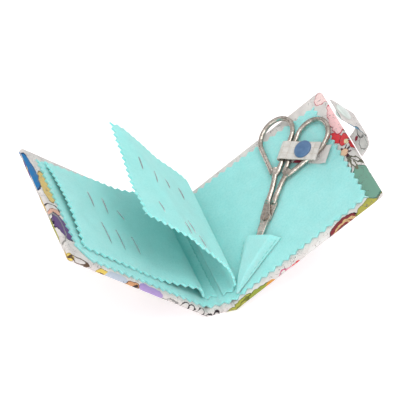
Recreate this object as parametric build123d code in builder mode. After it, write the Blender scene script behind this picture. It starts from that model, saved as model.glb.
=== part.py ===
from build123d import *
import os
from math import atan2, cos, degrees, hypot, radians, sin

# Needle case: two cloth-covered boards joined by a narrow spine, lined with pinked felt.
# Inside are a felt leaf on each side, a felt pocket with embroidery scissors, a snap strap
# that holds the scissors' rings, and a closure strap at the right fore-edge.
#
# Millimetres. X runs across the spine, Y along it (front edge at -Y), Z up.
# The origin is the middle of the spine's underside, on which the open case stands.

os.makedirs("parts", exist_ok=True)

# Case
CASE_LENGTH = 88.0  # along the spine
COVER_WIDTH = 99.0  # from a hinge line to its fore-edge
SPINE_WIDTH = 16.6  # between the two hinge lines
LEFT_ANGLE = 40.4  # each cover's slope above the table, as the case stands open
RIGHT_ANGLE = 36.0
CLOTH = 0.4
BOARD = 2.4
FELT = 1.2
COVER_THICKNESS = BOARD + 2 * CLOTH
CORNER_RADIUS = 2.0
EDGE_RADIUS = 1.2

# Hinges: the covers fold along two strips of bare cloth
HINGE_HEIGHT = 0.4  # the cloth strip's middle, above its underside
HINGE_GAP = 0.6  # from the fold line to the cover's own strip
SLAB_START = 3.4  # from the fold line to the covered board
SPINE_SLAB = 12.8
SPINE_LINING = 10.2
BINDING_WIDTH = 7.6

# Boards and turned-in cloth
BOARD_INSET = 0.9
MARGIN_SIDE = 6.0
MARGIN_FORE = 14.0
MARGIN_HINGE = 3.0
STRIP_INSET = 1.0  # the hinge strips stop short of the case's ends
TUCK = 0.4  # the strips run this far into the covered boards
SPINE_CORNER = 1.0

# Felt
PINK_PITCH = 4.85
PINK_DEPTH = 1.9
LINING_START = 5.0
LINING_END = 92.0
LINING_LENGTH = 82.5
PAGE_START = 6.0
PAGE_END = 88.0
PAGE_FRONT = -36.0
PAGE_BACK = 41.0
LINING_TOP = COVER_THICKNESS - HINGE_HEIGHT + FELT  # above the fold line's plane
PAGE_TOP = LINING_TOP + FELT

# Plastic snaps
SNAP_CAP_RADIUS = 5.2
SNAP_CAP_HEIGHT = 1.6
SNAP_CAP_CROWN = 3.6  # radius of the cap's flat top
SNAP_PART_RADIUS = 3.6
SNAP_BALL_RADIUS = 2.0
SNAP_HOLE_RADIUS = 2.25
SNAP_POST_RADIUS = 0.9
SNAP_CLEARANCE = 0.2
STRAP_SOCKET_BASE, STRAP_SOCKET_WALL = 0.5, 1.3
STRAP_STUD_BASE, STRAP_STUD_BALL = 1.2, 1.0
CLOSURE_STUD_BASE, CLOSURE_STUD_BALL = 1.0, 1.2
CLOSURE_SOCKET_BASE, CLOSURE_SOCKET_WALL = 0.6, 1.4
RIVET_HEIGHT = 1.2
POST_CUT = 4.0  # longer than any cloth that a post goes through

# Scissors, measured from their pivot: u towards the rings, v towards the left ring
PIVOT_W = 39.3
PIVOT_Y = -9.5
SCISSORS_TURN = 44.0
SCISSORS_LIFT = 0.7  # lower blade above the lining
BLADE_THICKNESS = 1.0
BLADE_GAP = 0.05
BLADE_LENGTH = 32.0
BLADE_WIDTH = 5.4
PIVOT_BOSS = 3.6
SCREW_RADIUS = 1.2
SCREW_CLEARANCE = 0.05
SCREW_HEAD_RADIUS = 2.3
SCREW_HEAD_HEIGHT = 0.8
SCREW_SLOT_WIDTH = 0.5
SCREW_SLOT_DEPTH = 0.3
# outlines of a half whose ring lies at +v: its blade's tang and its shank
TANG = [(0.0, -1.5), (9.6, 0.35), (9.6, 4.0), (0.0, 3.4), (-2.4, 1.8)]
SHANK = [(8.6, 0.35), (30.0, 0.8), (29.0, 7.6), (23.0, 4.3), (8.6, 3.7)]
BLADE_BACK = (0.55, 0.42)  # shares of the blade's length and width where its back tapers
BLADE_EDGE = (0.9, 0.5)  # share of its length, and v, where its edge meets the tip
BLADE_TIP_V = 0.2
RING_U = 48.8  # middle of a ring's wide end
RING_V = 11.8
RING_LONG = 12.8  # the wide end's outer half-axes
RING_SHORT = 11.4
RING_NECK = (28.0, 4.4)  # middle of a ring's narrow end
RING_NECK_RADIUS = 3.6
RING_WIRE = 2.9
RING_THICKNESS = 2.8

# Strap over the rings
STRAP_WIDTH = 10.8
STRAP_U = 39.6
STRAP_CLOTH = 0.8
STRAP_BASE = 0.6
STRAP_FOLD_V = 4.6
STRAP_END_V = -20.2
STRAP_FOLD_HEIGHT = 1.15  # the line that the flap turns about, above the lining
STRAP_FOLD_RADIUS = 0.6
STRAP_BASE_BEFORE, STRAP_BASE_AFTER = 0.9, 5.6  # the base runs on past the flap's ends
SNAP_U = 40.8
SNAP_V = -10.8
STRAP_OVER_RINGS = 4.2  # middle of the cloth, above the lining

# Closure strap
CLOSURE_WIDTH = 17.0
CLOSURE_Y = -4.5
CLOSURE_CLOTH = 1.0
CLOSURE_ROOT = 0.8  # from the fore-edge to the strap's fold
CLOSURE_SNAP_FROM_END = 5.6
CLOSURE_STUD_W = 90.0

NEEDLE_RADIUS = 0.4
NEEDLE_SHAFT = 0.8  # share of the length before the taper
NEEDLE_POINT = 0.2  # the point's radius, as a share of the shaft's
NEEDLE_RISE = 0.25  # a needle's axis above the felt


def cover_plane(side, height=0.0):
    """A cover's plane through its fold line: x out to the fore-edge, z to the inside."""
    if side == "left":
        slope = radians(LEFT_ANGLE)
        plane = Plane(
            origin=(-SPINE_WIDTH / 2, 0, HINGE_HEIGHT),
            x_dir=(-cos(slope), 0, sin(slope)),
            z_dir=(sin(slope), 0, cos(slope)),
        )
    else:
        slope = radians(RIGHT_ANGLE)
        plane = Plane(
            origin=(SPINE_WIDTH / 2, 0, HINGE_HEIGHT),
            x_dir=(cos(slope), 0, sin(slope)),
            z_dir=(-sin(slope), 0, cos(slope)),
        )
    return plane.offset(height)


def pinked_edge(start, end, pitch=PINK_PITCH, depth=PINK_DEPTH):
    """Corners of one zigzag edge from start to end, its notches on the left-hand side."""
    length = hypot(end[0] - start[0], end[1] - start[1])
    along = ((end[0] - start[0]) / length, (end[1] - start[1]) / length)
    inward = (-along[1], along[0])
    teeth = round(length / pitch)
    step = length / teeth
    points = []
    for tooth in range(teeth):
        for share, notch in ((0.0, 0.0), (0.5, depth)):
            run = (tooth + share) * step
            points.append((
                start[0] + along[0] * run + inward[0] * notch,
                start[1] + along[1] * run + inward[1] * notch,
            ))
    return points


def pinked_leaf(start, end, front, back):
    """Outline of a leaf with a straight edge at start and three pinked edges."""
    outline = pinked_edge((start, front), (end, front))
    outline += pinked_edge((end, front), (end, back))
    outline += pinked_edge((end, back), (start, back))
    outline.append((start, back))
    return outline


def save(part, name):
    part.label = name
    export_step(part, f"parts/{name}.step")


# ---------------------------------------------------------------- covers

slab_middle = (SLAB_START + COVER_WIDTH) / 2
slab_width = COVER_WIDTH - SLAB_START
board_width = slab_width - 2 * BOARD_INSET
board_length = CASE_LENGTH - 2 * BOARD_INSET
window_start = SLAB_START + MARGIN_HINGE
window_end = COVER_WIDTH - MARGIN_FORE
window_length = CASE_LENGTH - 2 * MARGIN_SIDE

for side in ("left", "right"):
    # printed cloth, wrapped round the board and turned in, with its hinge strip
    with BuildPart() as cover_cloth:
        with BuildSketch(cover_plane(side, -HINGE_HEIGHT)):
            with Locations((slab_middle, 0)):
                RectangleRounded(slab_width, CASE_LENGTH, CORNER_RADIUS)
        extrude(amount=COVER_THICKNESS)
        faces = cover_cloth.faces().sort_by(Axis(
            cover_plane(side).origin, cover_plane(side).z_dir))
        fillet(faces[0].edges() + faces[-1].edges(), EDGE_RADIUS)
        with BuildSketch(cover_plane(side, CLOTH - HINGE_HEIGHT)):
            with Locations((slab_middle, 0)):
                Rectangle(board_width, board_length)
        extrude(amount=BOARD, mode=Mode.SUBTRACT)
        with BuildSketch(cover_plane(side, CLOTH + BOARD - HINGE_HEIGHT)):
            with Locations(((window_start + window_end) / 2, 0)):
                Rectangle(window_end - window_start, window_length)
        extrude(amount=CLOTH, mode=Mode.SUBTRACT)
        with BuildSketch(cover_plane(side, -HINGE_HEIGHT)):
            with Locations(((HINGE_GAP + SLAB_START + BOARD_INSET) / 2, 0)):
                Rectangle(SLAB_START + BOARD_INSET - HINGE_GAP, CASE_LENGTH - 2 * STRIP_INSET)
        extrude(amount=CLOTH)
        with BuildSketch(cover_plane(side, CLOTH - HINGE_HEIGHT)):
            with Locations(((HINGE_GAP + SLAB_START + TUCK) / 2, 0)):
                Rectangle(SLAB_START + TUCK - HINGE_GAP, CASE_LENGTH - 2 * STRIP_INSET)
        extrude(amount=2 * HINGE_HEIGHT - CLOTH)
        if side == "left":
            with Locations(cover_plane(side, -HINGE_HEIGHT)):
                with Locations((CLOSURE_STUD_W, -CLOSURE_Y, 0)):
                    Cylinder(SNAP_POST_RADIUS, CLOTH, mode=Mode.SUBTRACT,
                             align=(Align.CENTER, Align.CENTER, Align.MIN))
    save(cover_cloth.part, f"{side}_cover_cloth")

    # greyboard; the left one has a round hole for the closure stud's rivet
    with BuildPart() as board:
        with BuildSketch(cover_plane(side, CLOTH - HINGE_HEIGHT)):
            with Locations((slab_middle, 0)):
                Rectangle(board_width, board_length)
            if side == "left":
                with Locations((CLOSURE_STUD_W, -CLOSURE_Y)):
                    Circle(SNAP_CAP_RADIUS + SNAP_CLEARANCE, mode=Mode.SUBTRACT)
        extrude(amount=BOARD)
    save(board.part, f"{side}_board")

    # pinked felt lining, pressed into the window that the turned-in cloth leaves
    with BuildPart() as lining:
        with BuildSketch(cover_plane(side, LINING_TOP - FELT)):
            with BuildLine():
                Polyline(pinked_leaf(LINING_START, LINING_END, -LINING_LENGTH / 2,
                                     LINING_LENGTH / 2), close=True)
            make_face()
        extrude(amount=FELT)
        with BuildSketch(cover_plane(side, LINING_TOP - FELT - CLOTH)):
            with Locations(((window_start + window_end) / 2, 0)):
                Rectangle(window_end - window_start, window_length)
        extrude(amount=CLOTH)
    save(lining.part, f"{side}_lining")

# ---------------------------------------------------------------- spine

with BuildPart() as spine_cloth:
    with BuildSketch(Plane.XY):
        RectangleRounded(SPINE_SLAB, CASE_LENGTH, SPINE_CORNER)
    extrude(amount=COVER_THICKNESS)
    fillet(spine_cloth.faces().sort_by(Axis.Z)[-1].edges(), EDGE_RADIUS / 2)
    with BuildSketch(Plane.XY.offset(CLOTH)):
        Rectangle(SPINE_SLAB - 2 * BOARD_INSET, board_length)
    extrude(amount=BOARD, mode=Mode.SUBTRACT)
    with BuildSketch(Plane.XY.offset(CLOTH + BOARD)):
        Rectangle(SPINE_SLAB - 2 * MARGIN_HINGE, window_length)
    extrude(amount=CLOTH, mode=Mode.SUBTRACT)
    for direction in (-1, 1):
        # a flat strip that ends in a half-round nose, the fold that the cover turns about
        fold = direction * SPINE_WIDTH / 2
        slab_edge = direction * (SPINE_SLAB / 2 - TUCK)
        with BuildSketch(Plane.XZ.offset(-CASE_LENGTH / 2 + STRIP_INSET)):
            with Locations(((fold + slab_edge) / 2, HINGE_HEIGHT)):
                Rectangle(abs(fold - slab_edge), 2 * HINGE_HEIGHT)
            with Locations((fold, HINGE_HEIGHT)):
                Circle(HINGE_HEIGHT)
        extrude(amount=CASE_LENGTH - 2 * STRIP_INSET)
save(spine_cloth.part, "spine_cloth")

with BuildPart() as spine_board:
    with BuildSketch(Plane.XY.offset(CLOTH)):
        Rectangle(SPINE_SLAB - 2 * BOARD_INSET, board_length)
    extrude(amount=BOARD)
save(spine_board.part, "spine_board")


def pinked_strip(width, front, back):
    """Outline of a strip across the spine whose two short ends are pinked."""
    outline = pinked_edge((-width / 2, front), (width / 2, front))
    outline.append((width / 2, front))
    outline += pinked_edge((width / 2, back), (-width / 2, back))
    outline.append((-width / 2, back))
    return outline


with BuildPart() as spine_lining:
    with BuildSketch(Plane.XY.offset(COVER_THICKNESS)):
        with BuildLine():
            Polyline(pinked_strip(SPINE_LINING, -LINING_LENGTH / 2, LINING_LENGTH / 2),
                     close=True)
        make_face()
    extrude(amount=FELT)
    with BuildSketch(Plane.XY.offset(COVER_THICKNESS - CLOTH)):
        Rectangle(SPINE_SLAB - 2 * MARGIN_HINGE, window_length)
    extrude(amount=CLOTH)
save(spine_lining.part, "spine_lining")

binding_floor = COVER_THICKNESS + FELT
with BuildPart() as page_binding:
    with BuildSketch(Plane.XY.offset(binding_floor)):
        with BuildLine():
            Polyline(pinked_strip(BINDING_WIDTH, PAGE_FRONT, PAGE_BACK), close=True)
        make_face()
    extrude(amount=FELT)
save(page_binding.part, "page_binding")

# the seam that holds the leaves to the spine
STITCH_LENGTH = 2.4
STITCH_PITCH = 3.2
STITCH_WIDTH = 0.5
STITCH_HEIGHT = 0.3
BINDING_STITCHES = 21
POCKET_STITCHES = 9
with BuildPart() as binding_stitches:
    with BuildSketch(Plane.XY.offset(binding_floor + FELT)):
        with Locations((0, (PAGE_FRONT + PAGE_BACK) / 2)):
            with GridLocations(1, STITCH_PITCH, 1, BINDING_STITCHES):
                SlotOverall(STITCH_LENGTH, STITCH_WIDTH, rotation=90)
    extrude(amount=STITCH_HEIGHT)
save(binding_stitches.part, "binding_stitches")

# ---------------------------------------------------------------- left leaf and its needles


def needle(plane, start, end, radius=NEEDLE_RADIUS):
    """Adds a needle that lies in plane from its eye to its point."""
    length = hypot(end[0] - start[0], end[1] - start[1])
    turn = degrees(atan2(end[1] - start[1], end[0] - start[0]))
    with Locations(plane):
        with Locations(Location((start[0], start[1], 0), (0, 0, turn))):
            shaft = length * NEEDLE_SHAFT
            with Locations(Location((0, 0, 0), (0, 90, 0))):
                Cylinder(radius, shaft, align=(Align.CENTER, Align.CENTER, Align.MIN))
            with Locations(Location((shaft, 0, 0), (0, 90, 0))):
                Cone(radius, radius * NEEDLE_POINT, length - shaft,
                     align=(Align.CENTER, Align.CENTER, Align.MIN))


with BuildPart() as left_page:
    with BuildSketch(cover_plane("left", LINING_TOP)):
        with BuildLine():
            Polyline(pinked_leaf(PAGE_START, PAGE_END, -PAGE_BACK, -PAGE_FRONT),
                     close=True)
        make_face()
    extrude(amount=FELT)
    # the leaf's rounded root, which it turns about
    root = Plane(cover_plane("left").location
                 * Location((PAGE_START, -PAGE_BACK, LINING_TOP + FELT / 2), (-90, 0, 0)))
    with BuildSketch(root):
        Circle(FELT / 2)
    extrude(amount=PAGE_BACK - PAGE_FRONT)
save(left_page.part, "left_page")

# eye and point of each needle, as distances from the fold line and along the spine
LEFT_NEEDLES = [
    ((62.4, 20.3), (63.0, 8.5)),
    ((52.3, 20.3), (53.4, 7.4)),
    ((43.4, 14.6), (41.0, 8.4)),
    ((63.5, -4.7), (62.7, -21.0)),
    ((53.6, -6.4), (53.3, -22.1)),
    ((42.2, -6.6), (41.6, -19.9)),
]
needle_plane = cover_plane("left", PAGE_TOP + NEEDLE_RISE)
with BuildPart() as left_needles:
    for eye, point in LEFT_NEEDLES:
        needle(needle_plane, (eye[0], -eye[1]), (point[0], -point[1]))
save(left_needles.part, "left_needles")

# ---------------------------------------------------------------- right leaf and its needles

# the standing leaf's section, across the spine: it bulges a little to the right of its
# root, then leans over towards the left leaf
PAGE_ROOT = (4.4, binding_floor + FELT / 2)
PAGE_ROOT_RADIUS = 0.45
RIGHT_PAGE_SECTION = [
    (4.8, 5.1),
    (8.6, 7.6),
    (9.6, 12.0),
    (6.4, 20.0),
    (-0.8, 31.6),
    (-8.6, 43.0),
    (-16.8, 54.4),
    (-26.0, 64.8),
    (-34.0, 73.4),
]
section = Spline(RIGHT_PAGE_SECTION, mode=Mode.PRIVATE)

with BuildPart() as right_page:
    with BuildSketch(Plane.XZ.offset(-PAGE_BACK)):
        with BuildLine():
            Spline(RIGHT_PAGE_SECTION)
        trace(line_width=FELT)
    extrude(amount=PAGE_BACK - PAGE_FRONT)
    with BuildSketch(Plane.XZ.offset(-PAGE_BACK)):
        with Locations(PAGE_ROOT):
            Circle(PAGE_ROOT_RADIUS)
    extrude(amount=PAGE_BACK - PAGE_FRONT)
save(right_page.part, "right_page")

# share of the section's length, and where along the spine each needle begins and ends
RIGHT_NEEDLES = [
    (0.87, 15.0, 5.0),
    (0.765, 10.0, -1.0),
    (0.60, 15.0, 5.0),
    (0.43, 18.5, 8.0),
    (0.82, -19.0, -27.0),
    (0.63, -24.0, -33.0),
    (0.53, -17.0, -26.0),
    (0.47, -26.0, -34.0),
]
with BuildPart() as right_needles:
    for share, back, front in RIGHT_NEEDLES:
        place = section @ share
        along = section % share
        # the leaf's upper, right-hand face
        x = place.X + along.Y * (FELT / 2 + NEEDLE_RISE)
        z = place.Y - along.X * (FELT / 2 + NEEDLE_RISE)
        plane = Plane(origin=(x, 0, z), x_dir=(0, 1, 0), z_dir=(1, 0, 0))
        needle(plane, (back, 0), (front, 0))
save(right_needles.part, "right_needles")

# ---------------------------------------------------------------- scissors

lining_face = cover_plane("right", LINING_TOP)


def scissors_plane(height):
    """Plane on the scissors' pivot: x towards the rings, z out of the lining."""
    pivot = Location((PIVOT_W, PIVOT_Y, height), (0, 0, SCISSORS_TURN))
    return Plane(lining_face.location * pivot)


lower_floor = SCISSORS_LIFT
upper_floor = SCISSORS_LIFT + BLADE_THICKNESS + BLADE_GAP
ring_plane = scissors_plane(SCISSORS_LIFT)

for half, floor, ring_side in (("lower", lower_floor, -1), ("upper", upper_floor, 1)):
    with BuildPart() as blade:
        with BuildSketch(scissors_plane(floor)):
            # the blade lies on the other side of the axis from its ring
            with BuildLine():
                Polyline([
                    (0, -ring_side * BLADE_WIDTH / 2),
                    (-BLADE_LENGTH * BLADE_BACK[0], -ring_side * BLADE_WIDTH * BLADE_BACK[1]),
                    (-BLADE_LENGTH, -ring_side * BLADE_TIP_V),
                    (-BLADE_LENGTH * BLADE_EDGE[0], ring_side * BLADE_EDGE[1]),
                    (0, ring_side * BLADE_WIDTH / 2),
                ], close=True)
            make_face()
            Circle(PIVOT_BOSS)
            with BuildLine():
                Polyline([(u, ring_side * v) for u, v in TANG], close=True)
            make_face()
            Circle(SCREW_RADIUS + SCREW_CLEARANCE, mode=Mode.SUBTRACT)
        extrude(amount=BLADE_THICKNESS)
        # shank, beside the other half's shank, then the finger ring
        with BuildSketch(ring_plane) as handle:
            with BuildSketch(mode=Mode.PRIVATE) as opening:
                with Locations((RING_U, ring_side * RING_V)):
                    Ellipse(RING_LONG - RING_WIRE, RING_SHORT - RING_WIRE)
                with Locations((RING_NECK[0], ring_side * RING_NECK[1])):
                    Circle(RING_NECK_RADIUS - RING_WIRE)
                make_hull()
            with Locations((RING_U, ring_side * RING_V)):
                Ellipse(RING_LONG, RING_SHORT)
            with Locations((RING_NECK[0], ring_side * RING_NECK[1])):
                Circle(RING_NECK_RADIUS)
            make_hull()
            with BuildLine():
                Polyline([(u, ring_side * v) for u, v in SHANK], close=True)
            make_face()
            add(opening.sketch, mode=Mode.SUBTRACT)
        extrude(amount=RING_THICKNESS)
    save(blade.part, f"scissors_{half}_half")

with BuildPart() as scissors_screw:
    with BuildSketch(scissors_plane(lower_floor)):
        Circle(SCREW_RADIUS)
    extrude(amount=2 * BLADE_THICKNESS + BLADE_GAP + 2 * SCREW_CLEARANCE)
    head_floor = upper_floor + BLADE_THICKNESS + SCREW_CLEARANCE
    with BuildSketch(scissors_plane(head_floor)):
        Circle(SCREW_HEAD_RADIUS)
    extrude(amount=SCREW_HEAD_HEIGHT)
    with BuildSketch(scissors_plane(head_floor + SCREW_HEAD_HEIGHT - SCREW_SLOT_DEPTH)):
        Rectangle(2 * SCREW_HEAD_RADIUS + SCREW_SLOT_WIDTH, SCREW_SLOT_WIDTH)
    extrude(amount=SCREW_SLOT_DEPTH, mode=Mode.SUBTRACT)
save(scissors_screw.part, "scissors_screw")

# ---------------------------------------------------------------- scissors pocket

# corners of the V-shaped pocket, from the fold line and along the spine
POCKET_APEX = (5.8, -39.2)
POCKET_LEFT = (23.0, -10.6)
POCKET_RIGHT = (41.0, -26.6)
POCKET_SEAM = 1.6
POCKET_FIRST_STITCH = 5.0
POCKET_ROOM = 3.3  # from the lining to the pocket's felt, over the blades
POCKET_FELT = 0.9
POCKET_MOUTH = (32.0, -18.0)
POCKET_APEX_HEIGHT = 1.0
POCKET_RISE = 14.0  # degrees, from the apex to the full height
# the blades' room: two corners measured from the apex, two from each end of the mouth
ROOM_AT_APEX = ((7.4, 8.6), (8.8, 5.9))
ROOM_AT_RIGHT = ((-0.4, 1.9), (6.0, 12.0))
ROOM_AT_LEFT = ((12.0, 8.0), (1.9, 0.2))

pocket_start = Location((POCKET_APEX[0], POCKET_APEX[1], POCKET_APEX_HEIGHT),
                        (0, 0, SCISSORS_TURN))
pocket_slope = Plane(lining_face.location * pocket_start
                     * Location((0, 0, 0), (0, -POCKET_RISE, 0)))

with BuildPart() as scissors_pocket:
    with BuildSketch(lining_face):
        with BuildLine():
            Polyline([POCKET_APEX, POCKET_RIGHT, POCKET_MOUTH, POCKET_LEFT], close=True)
        make_face()
    extrude(amount=POCKET_ROOM + POCKET_FELT)
    # the felt comes down to the lining at the apex
    split(bisect_by=pocket_slope, keep=Keep.BOTTOM)
    # the room for the blades, open at the mouth
    with BuildSketch(lining_face):
        with BuildLine():
            Polyline([
                (corner[0] + across, corner[1] + along)
                for corner, room in ((POCKET_APEX, ROOM_AT_APEX), (POCKET_RIGHT, ROOM_AT_RIGHT),
                                     (POCKET_LEFT, ROOM_AT_LEFT))
                for across, along in room
            ], close=True)
        make_face()
    extrude(amount=POCKET_ROOM, mode=Mode.SUBTRACT)
save(scissors_pocket.part, "scissors_pocket")

with BuildPart() as pocket_stitches:
    for corner in (POCKET_LEFT, POCKET_RIGHT):
        run = hypot(corner[0] - POCKET_APEX[0], corner[1] - POCKET_APEX[1])
        turn = degrees(atan2(corner[1] - POCKET_APEX[1], corner[0] - POCKET_APEX[0]))
        inward = -1 if corner == POCKET_LEFT else 1
        start = Location((POCKET_APEX[0], POCKET_APEX[1], 0), (0, 0, turn))
        seam = Plane(lining_face.offset(POCKET_ROOM + POCKET_FELT).location * start)
        with BuildSketch(seam):
            for stitch in range(POCKET_STITCHES):
                with Locations((POCKET_FIRST_STITCH + stitch * STITCH_PITCH, inward * POCKET_SEAM / 2)):
                    SlotOverall(STITCH_LENGTH, STITCH_WIDTH)
        extrude(amount=STITCH_HEIGHT)
save(pocket_stitches.part, "pocket_stitches")

# ---------------------------------------------------------------- strap over the rings

with BuildPart() as strap_base:
    with BuildSketch(scissors_plane(0)):
        base_back = STRAP_FOLD_V + STRAP_BASE_BEFORE
        base_front = STRAP_END_V - STRAP_BASE_AFTER
        with Locations((STRAP_U, (base_back + base_front) / 2)):
            Rectangle(STRAP_WIDTH, base_back - base_front)
    extrude(amount=STRAP_BASE)
save(strap_base.part, "strap_base")

# the flap's section across the rings: a standing fold inside the left ring, then a flat
# run over both rings' inner sides to the snap inside the right ring
rings_frame = scissors_plane(0)
strap_section = Plane(
    origin=rings_frame.origin + rings_frame.x_dir * (STRAP_U - STRAP_WIDTH / 2),
    x_dir=rings_frame.y_dir,
    z_dir=rings_frame.x_dir,
)
with BuildPart() as strap_flap:
    with BuildSketch(strap_section):
        with BuildLine():
            FilletPolyline([
                (STRAP_FOLD_V, STRAP_FOLD_HEIGHT),
                (STRAP_FOLD_V, STRAP_OVER_RINGS),
                (STRAP_END_V, STRAP_OVER_RINGS),
            ], radius=STRAP_FOLD_RADIUS)
        trace(line_width=STRAP_CLOTH)
        with Locations((STRAP_FOLD_V, STRAP_FOLD_HEIGHT)):
            Circle(STRAP_CLOTH / 2)
    extrude(amount=STRAP_WIDTH)
    with Locations(scissors_plane(STRAP_OVER_RINGS)):
        with Locations((SNAP_U, SNAP_V, 0)):
            Cylinder(SNAP_POST_RADIUS, POST_CUT, mode=Mode.SUBTRACT)
save(strap_flap.part, "strap_flap")


def snap_cap(plane, cloth):
    """A domed cap on plane, with its post through the cloth below it."""
    rim = SNAP_CAP_HEIGHT / 2
    on_base = (Align.CENTER, Align.CENTER, Align.MIN)
    with Locations(plane):
        Cylinder(SNAP_CAP_RADIUS, rim, align=on_base)
    with Locations(plane.offset(rim)):
        Cone(SNAP_CAP_RADIUS, SNAP_CAP_CROWN, SNAP_CAP_HEIGHT - rim, align=on_base)
    with Locations(plane.offset(-cloth)):
        Cylinder(SNAP_POST_RADIUS, cloth, align=on_base)


def snap_plane(height):
    """Plane on the rings' snap, above the lining."""
    place = Location((SNAP_U, SNAP_V, 0))
    return Plane(scissors_plane(height).location * place)


flap_top = STRAP_OVER_RINGS + STRAP_CLOTH / 2
flap_under = STRAP_OVER_RINGS - STRAP_CLOTH / 2
with BuildPart() as strap_snap_cap:
    snap_cap(snap_plane(flap_top), STRAP_CLOTH)
save(strap_snap_cap.part, "strap_snap_cap")

with BuildPart() as strap_snap_socket:
    with BuildSketch(snap_plane(flap_under)):
        Circle(SNAP_PART_RADIUS)
    extrude(amount=-STRAP_SOCKET_BASE)
    with BuildSketch(snap_plane(flap_under - STRAP_SOCKET_BASE)):
        Circle(SNAP_PART_RADIUS)
        Circle(SNAP_HOLE_RADIUS, mode=Mode.SUBTRACT)
    extrude(amount=-STRAP_SOCKET_WALL)
save(strap_snap_socket.part, "strap_snap_socket")

with BuildPart() as strap_snap_stud:
    with BuildSketch(snap_plane(STRAP_BASE)):
        Circle(SNAP_PART_RADIUS)
    extrude(amount=STRAP_STUD_BASE)
    with BuildSketch(snap_plane(STRAP_BASE + STRAP_STUD_BASE)):
        Circle(SNAP_BALL_RADIUS)
    extrude(amount=STRAP_STUD_BALL)
save(strap_snap_stud.part, "strap_snap_stud")

# ---------------------------------------------------------------- closure

# the stud on the left cover's outside, riveted to a cap that sits in the board's hole
stud_outside = Plane(cover_plane("left", -HINGE_HEIGHT).location
                     * Location((CLOSURE_STUD_W, -CLOSURE_Y, 0), (180, 0, 0)))
with BuildPart() as closure_stud:
    with BuildSketch(stud_outside):
        Circle(SNAP_PART_RADIUS)
    extrude(amount=CLOSURE_STUD_BASE)
    with BuildSketch(stud_outside.offset(CLOSURE_STUD_BASE)):
        Circle(SNAP_BALL_RADIUS)
    extrude(amount=CLOSURE_STUD_BALL)
save(closure_stud.part, "closure_stud")

with BuildPart() as closure_stud_rivet:
    with BuildSketch(stud_outside.offset(-CLOTH)):
        Circle(SNAP_CAP_RADIUS)
    extrude(amount=-RIVET_HEIGHT)
    with BuildSketch(stud_outside):
        Circle(SNAP_POST_RADIUS)
    extrude(amount=-CLOTH)
save(closure_stud_rivet.part, "closure_stud_rivet")

# the strap's section, out from the right fore-edge and up from the cover's middle
closure_origin = Location((COVER_WIDTH + CLOSURE_ROOT, CLOSURE_Y, BOARD / 2), (90, 0, 0))
closure_section = Plane(cover_plane("right").location * closure_origin)
CLOSURE_CURVE = [(0.0, 0.0), (7.2, 4.6), (9.6, 11.5), (9.1, 16.6), (8.3, 20.4)]
CLOSURE_LEAVING = (1, 0.4)  # its direction where it leaves the cover
CLOSURE_END = (6.4, 31.6)
end_length = hypot(CLOSURE_END[0] - CLOSURE_CURVE[-1][0],
                   CLOSURE_END[1] - CLOSURE_CURVE[-1][1])
end_along = ((CLOSURE_END[0] - CLOSURE_CURVE[-1][0]) / end_length,
             (CLOSURE_END[1] - CLOSURE_CURVE[-1][1]) / end_length)

with BuildPart() as closure_strap:
    with BuildSketch(closure_section.offset(-CLOSURE_WIDTH / 2)):
        with BuildLine():
            curve = Spline(CLOSURE_CURVE, tangents=[CLOSURE_LEAVING, end_along])
            Line(curve @ 1, CLOSURE_END)
        trace(line_width=CLOSURE_CLOTH)
        Circle(CLOSURE_CLOTH / 2)
    extrude(amount=CLOSURE_WIDTH)
    snap_place = (CLOSURE_END[0] - end_along[0] * CLOSURE_SNAP_FROM_END,
                  CLOSURE_END[1] - end_along[1] * CLOSURE_SNAP_FROM_END)
    # the snap's axis, from the strap's inside towards its outside
    face_turn = degrees(atan2(end_along[1], end_along[0]))
    snap_axis = Plane(closure_section.location
                      * Location((snap_place[0], snap_place[1], 0), (0, 0, face_turn))
                      * Location((0, 0, 0), (90, 0, 0)))
    with Locations(snap_axis):
        Cylinder(SNAP_POST_RADIUS, POST_CUT, mode=Mode.SUBTRACT)
save(closure_strap.part, "closure_strap")

with BuildPart() as closure_snap_cap:
    snap_cap(snap_axis.offset(CLOSURE_CLOTH / 2), CLOSURE_CLOTH)
save(closure_snap_cap.part, "closure_snap_cap")

with BuildPart() as closure_snap_socket:
    with BuildSketch(snap_axis.offset(-CLOSURE_CLOTH / 2)):
        Circle(SNAP_PART_RADIUS)
    extrude(amount=-CLOSURE_SOCKET_BASE)
    with BuildSketch(snap_axis.offset(-CLOSURE_CLOTH / 2 - CLOSURE_SOCKET_BASE)):
        Circle(SNAP_PART_RADIUS)
        Circle(SNAP_HOLE_RADIUS, mode=Mode.SUBTRACT)
    extrude(amount=-CLOSURE_SOCKET_WALL)
save(closure_snap_socket.part, "closure_snap_socket")
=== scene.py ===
import math

import bmesh
import bpy
from mathutils import Matrix, Vector, noise

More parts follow.
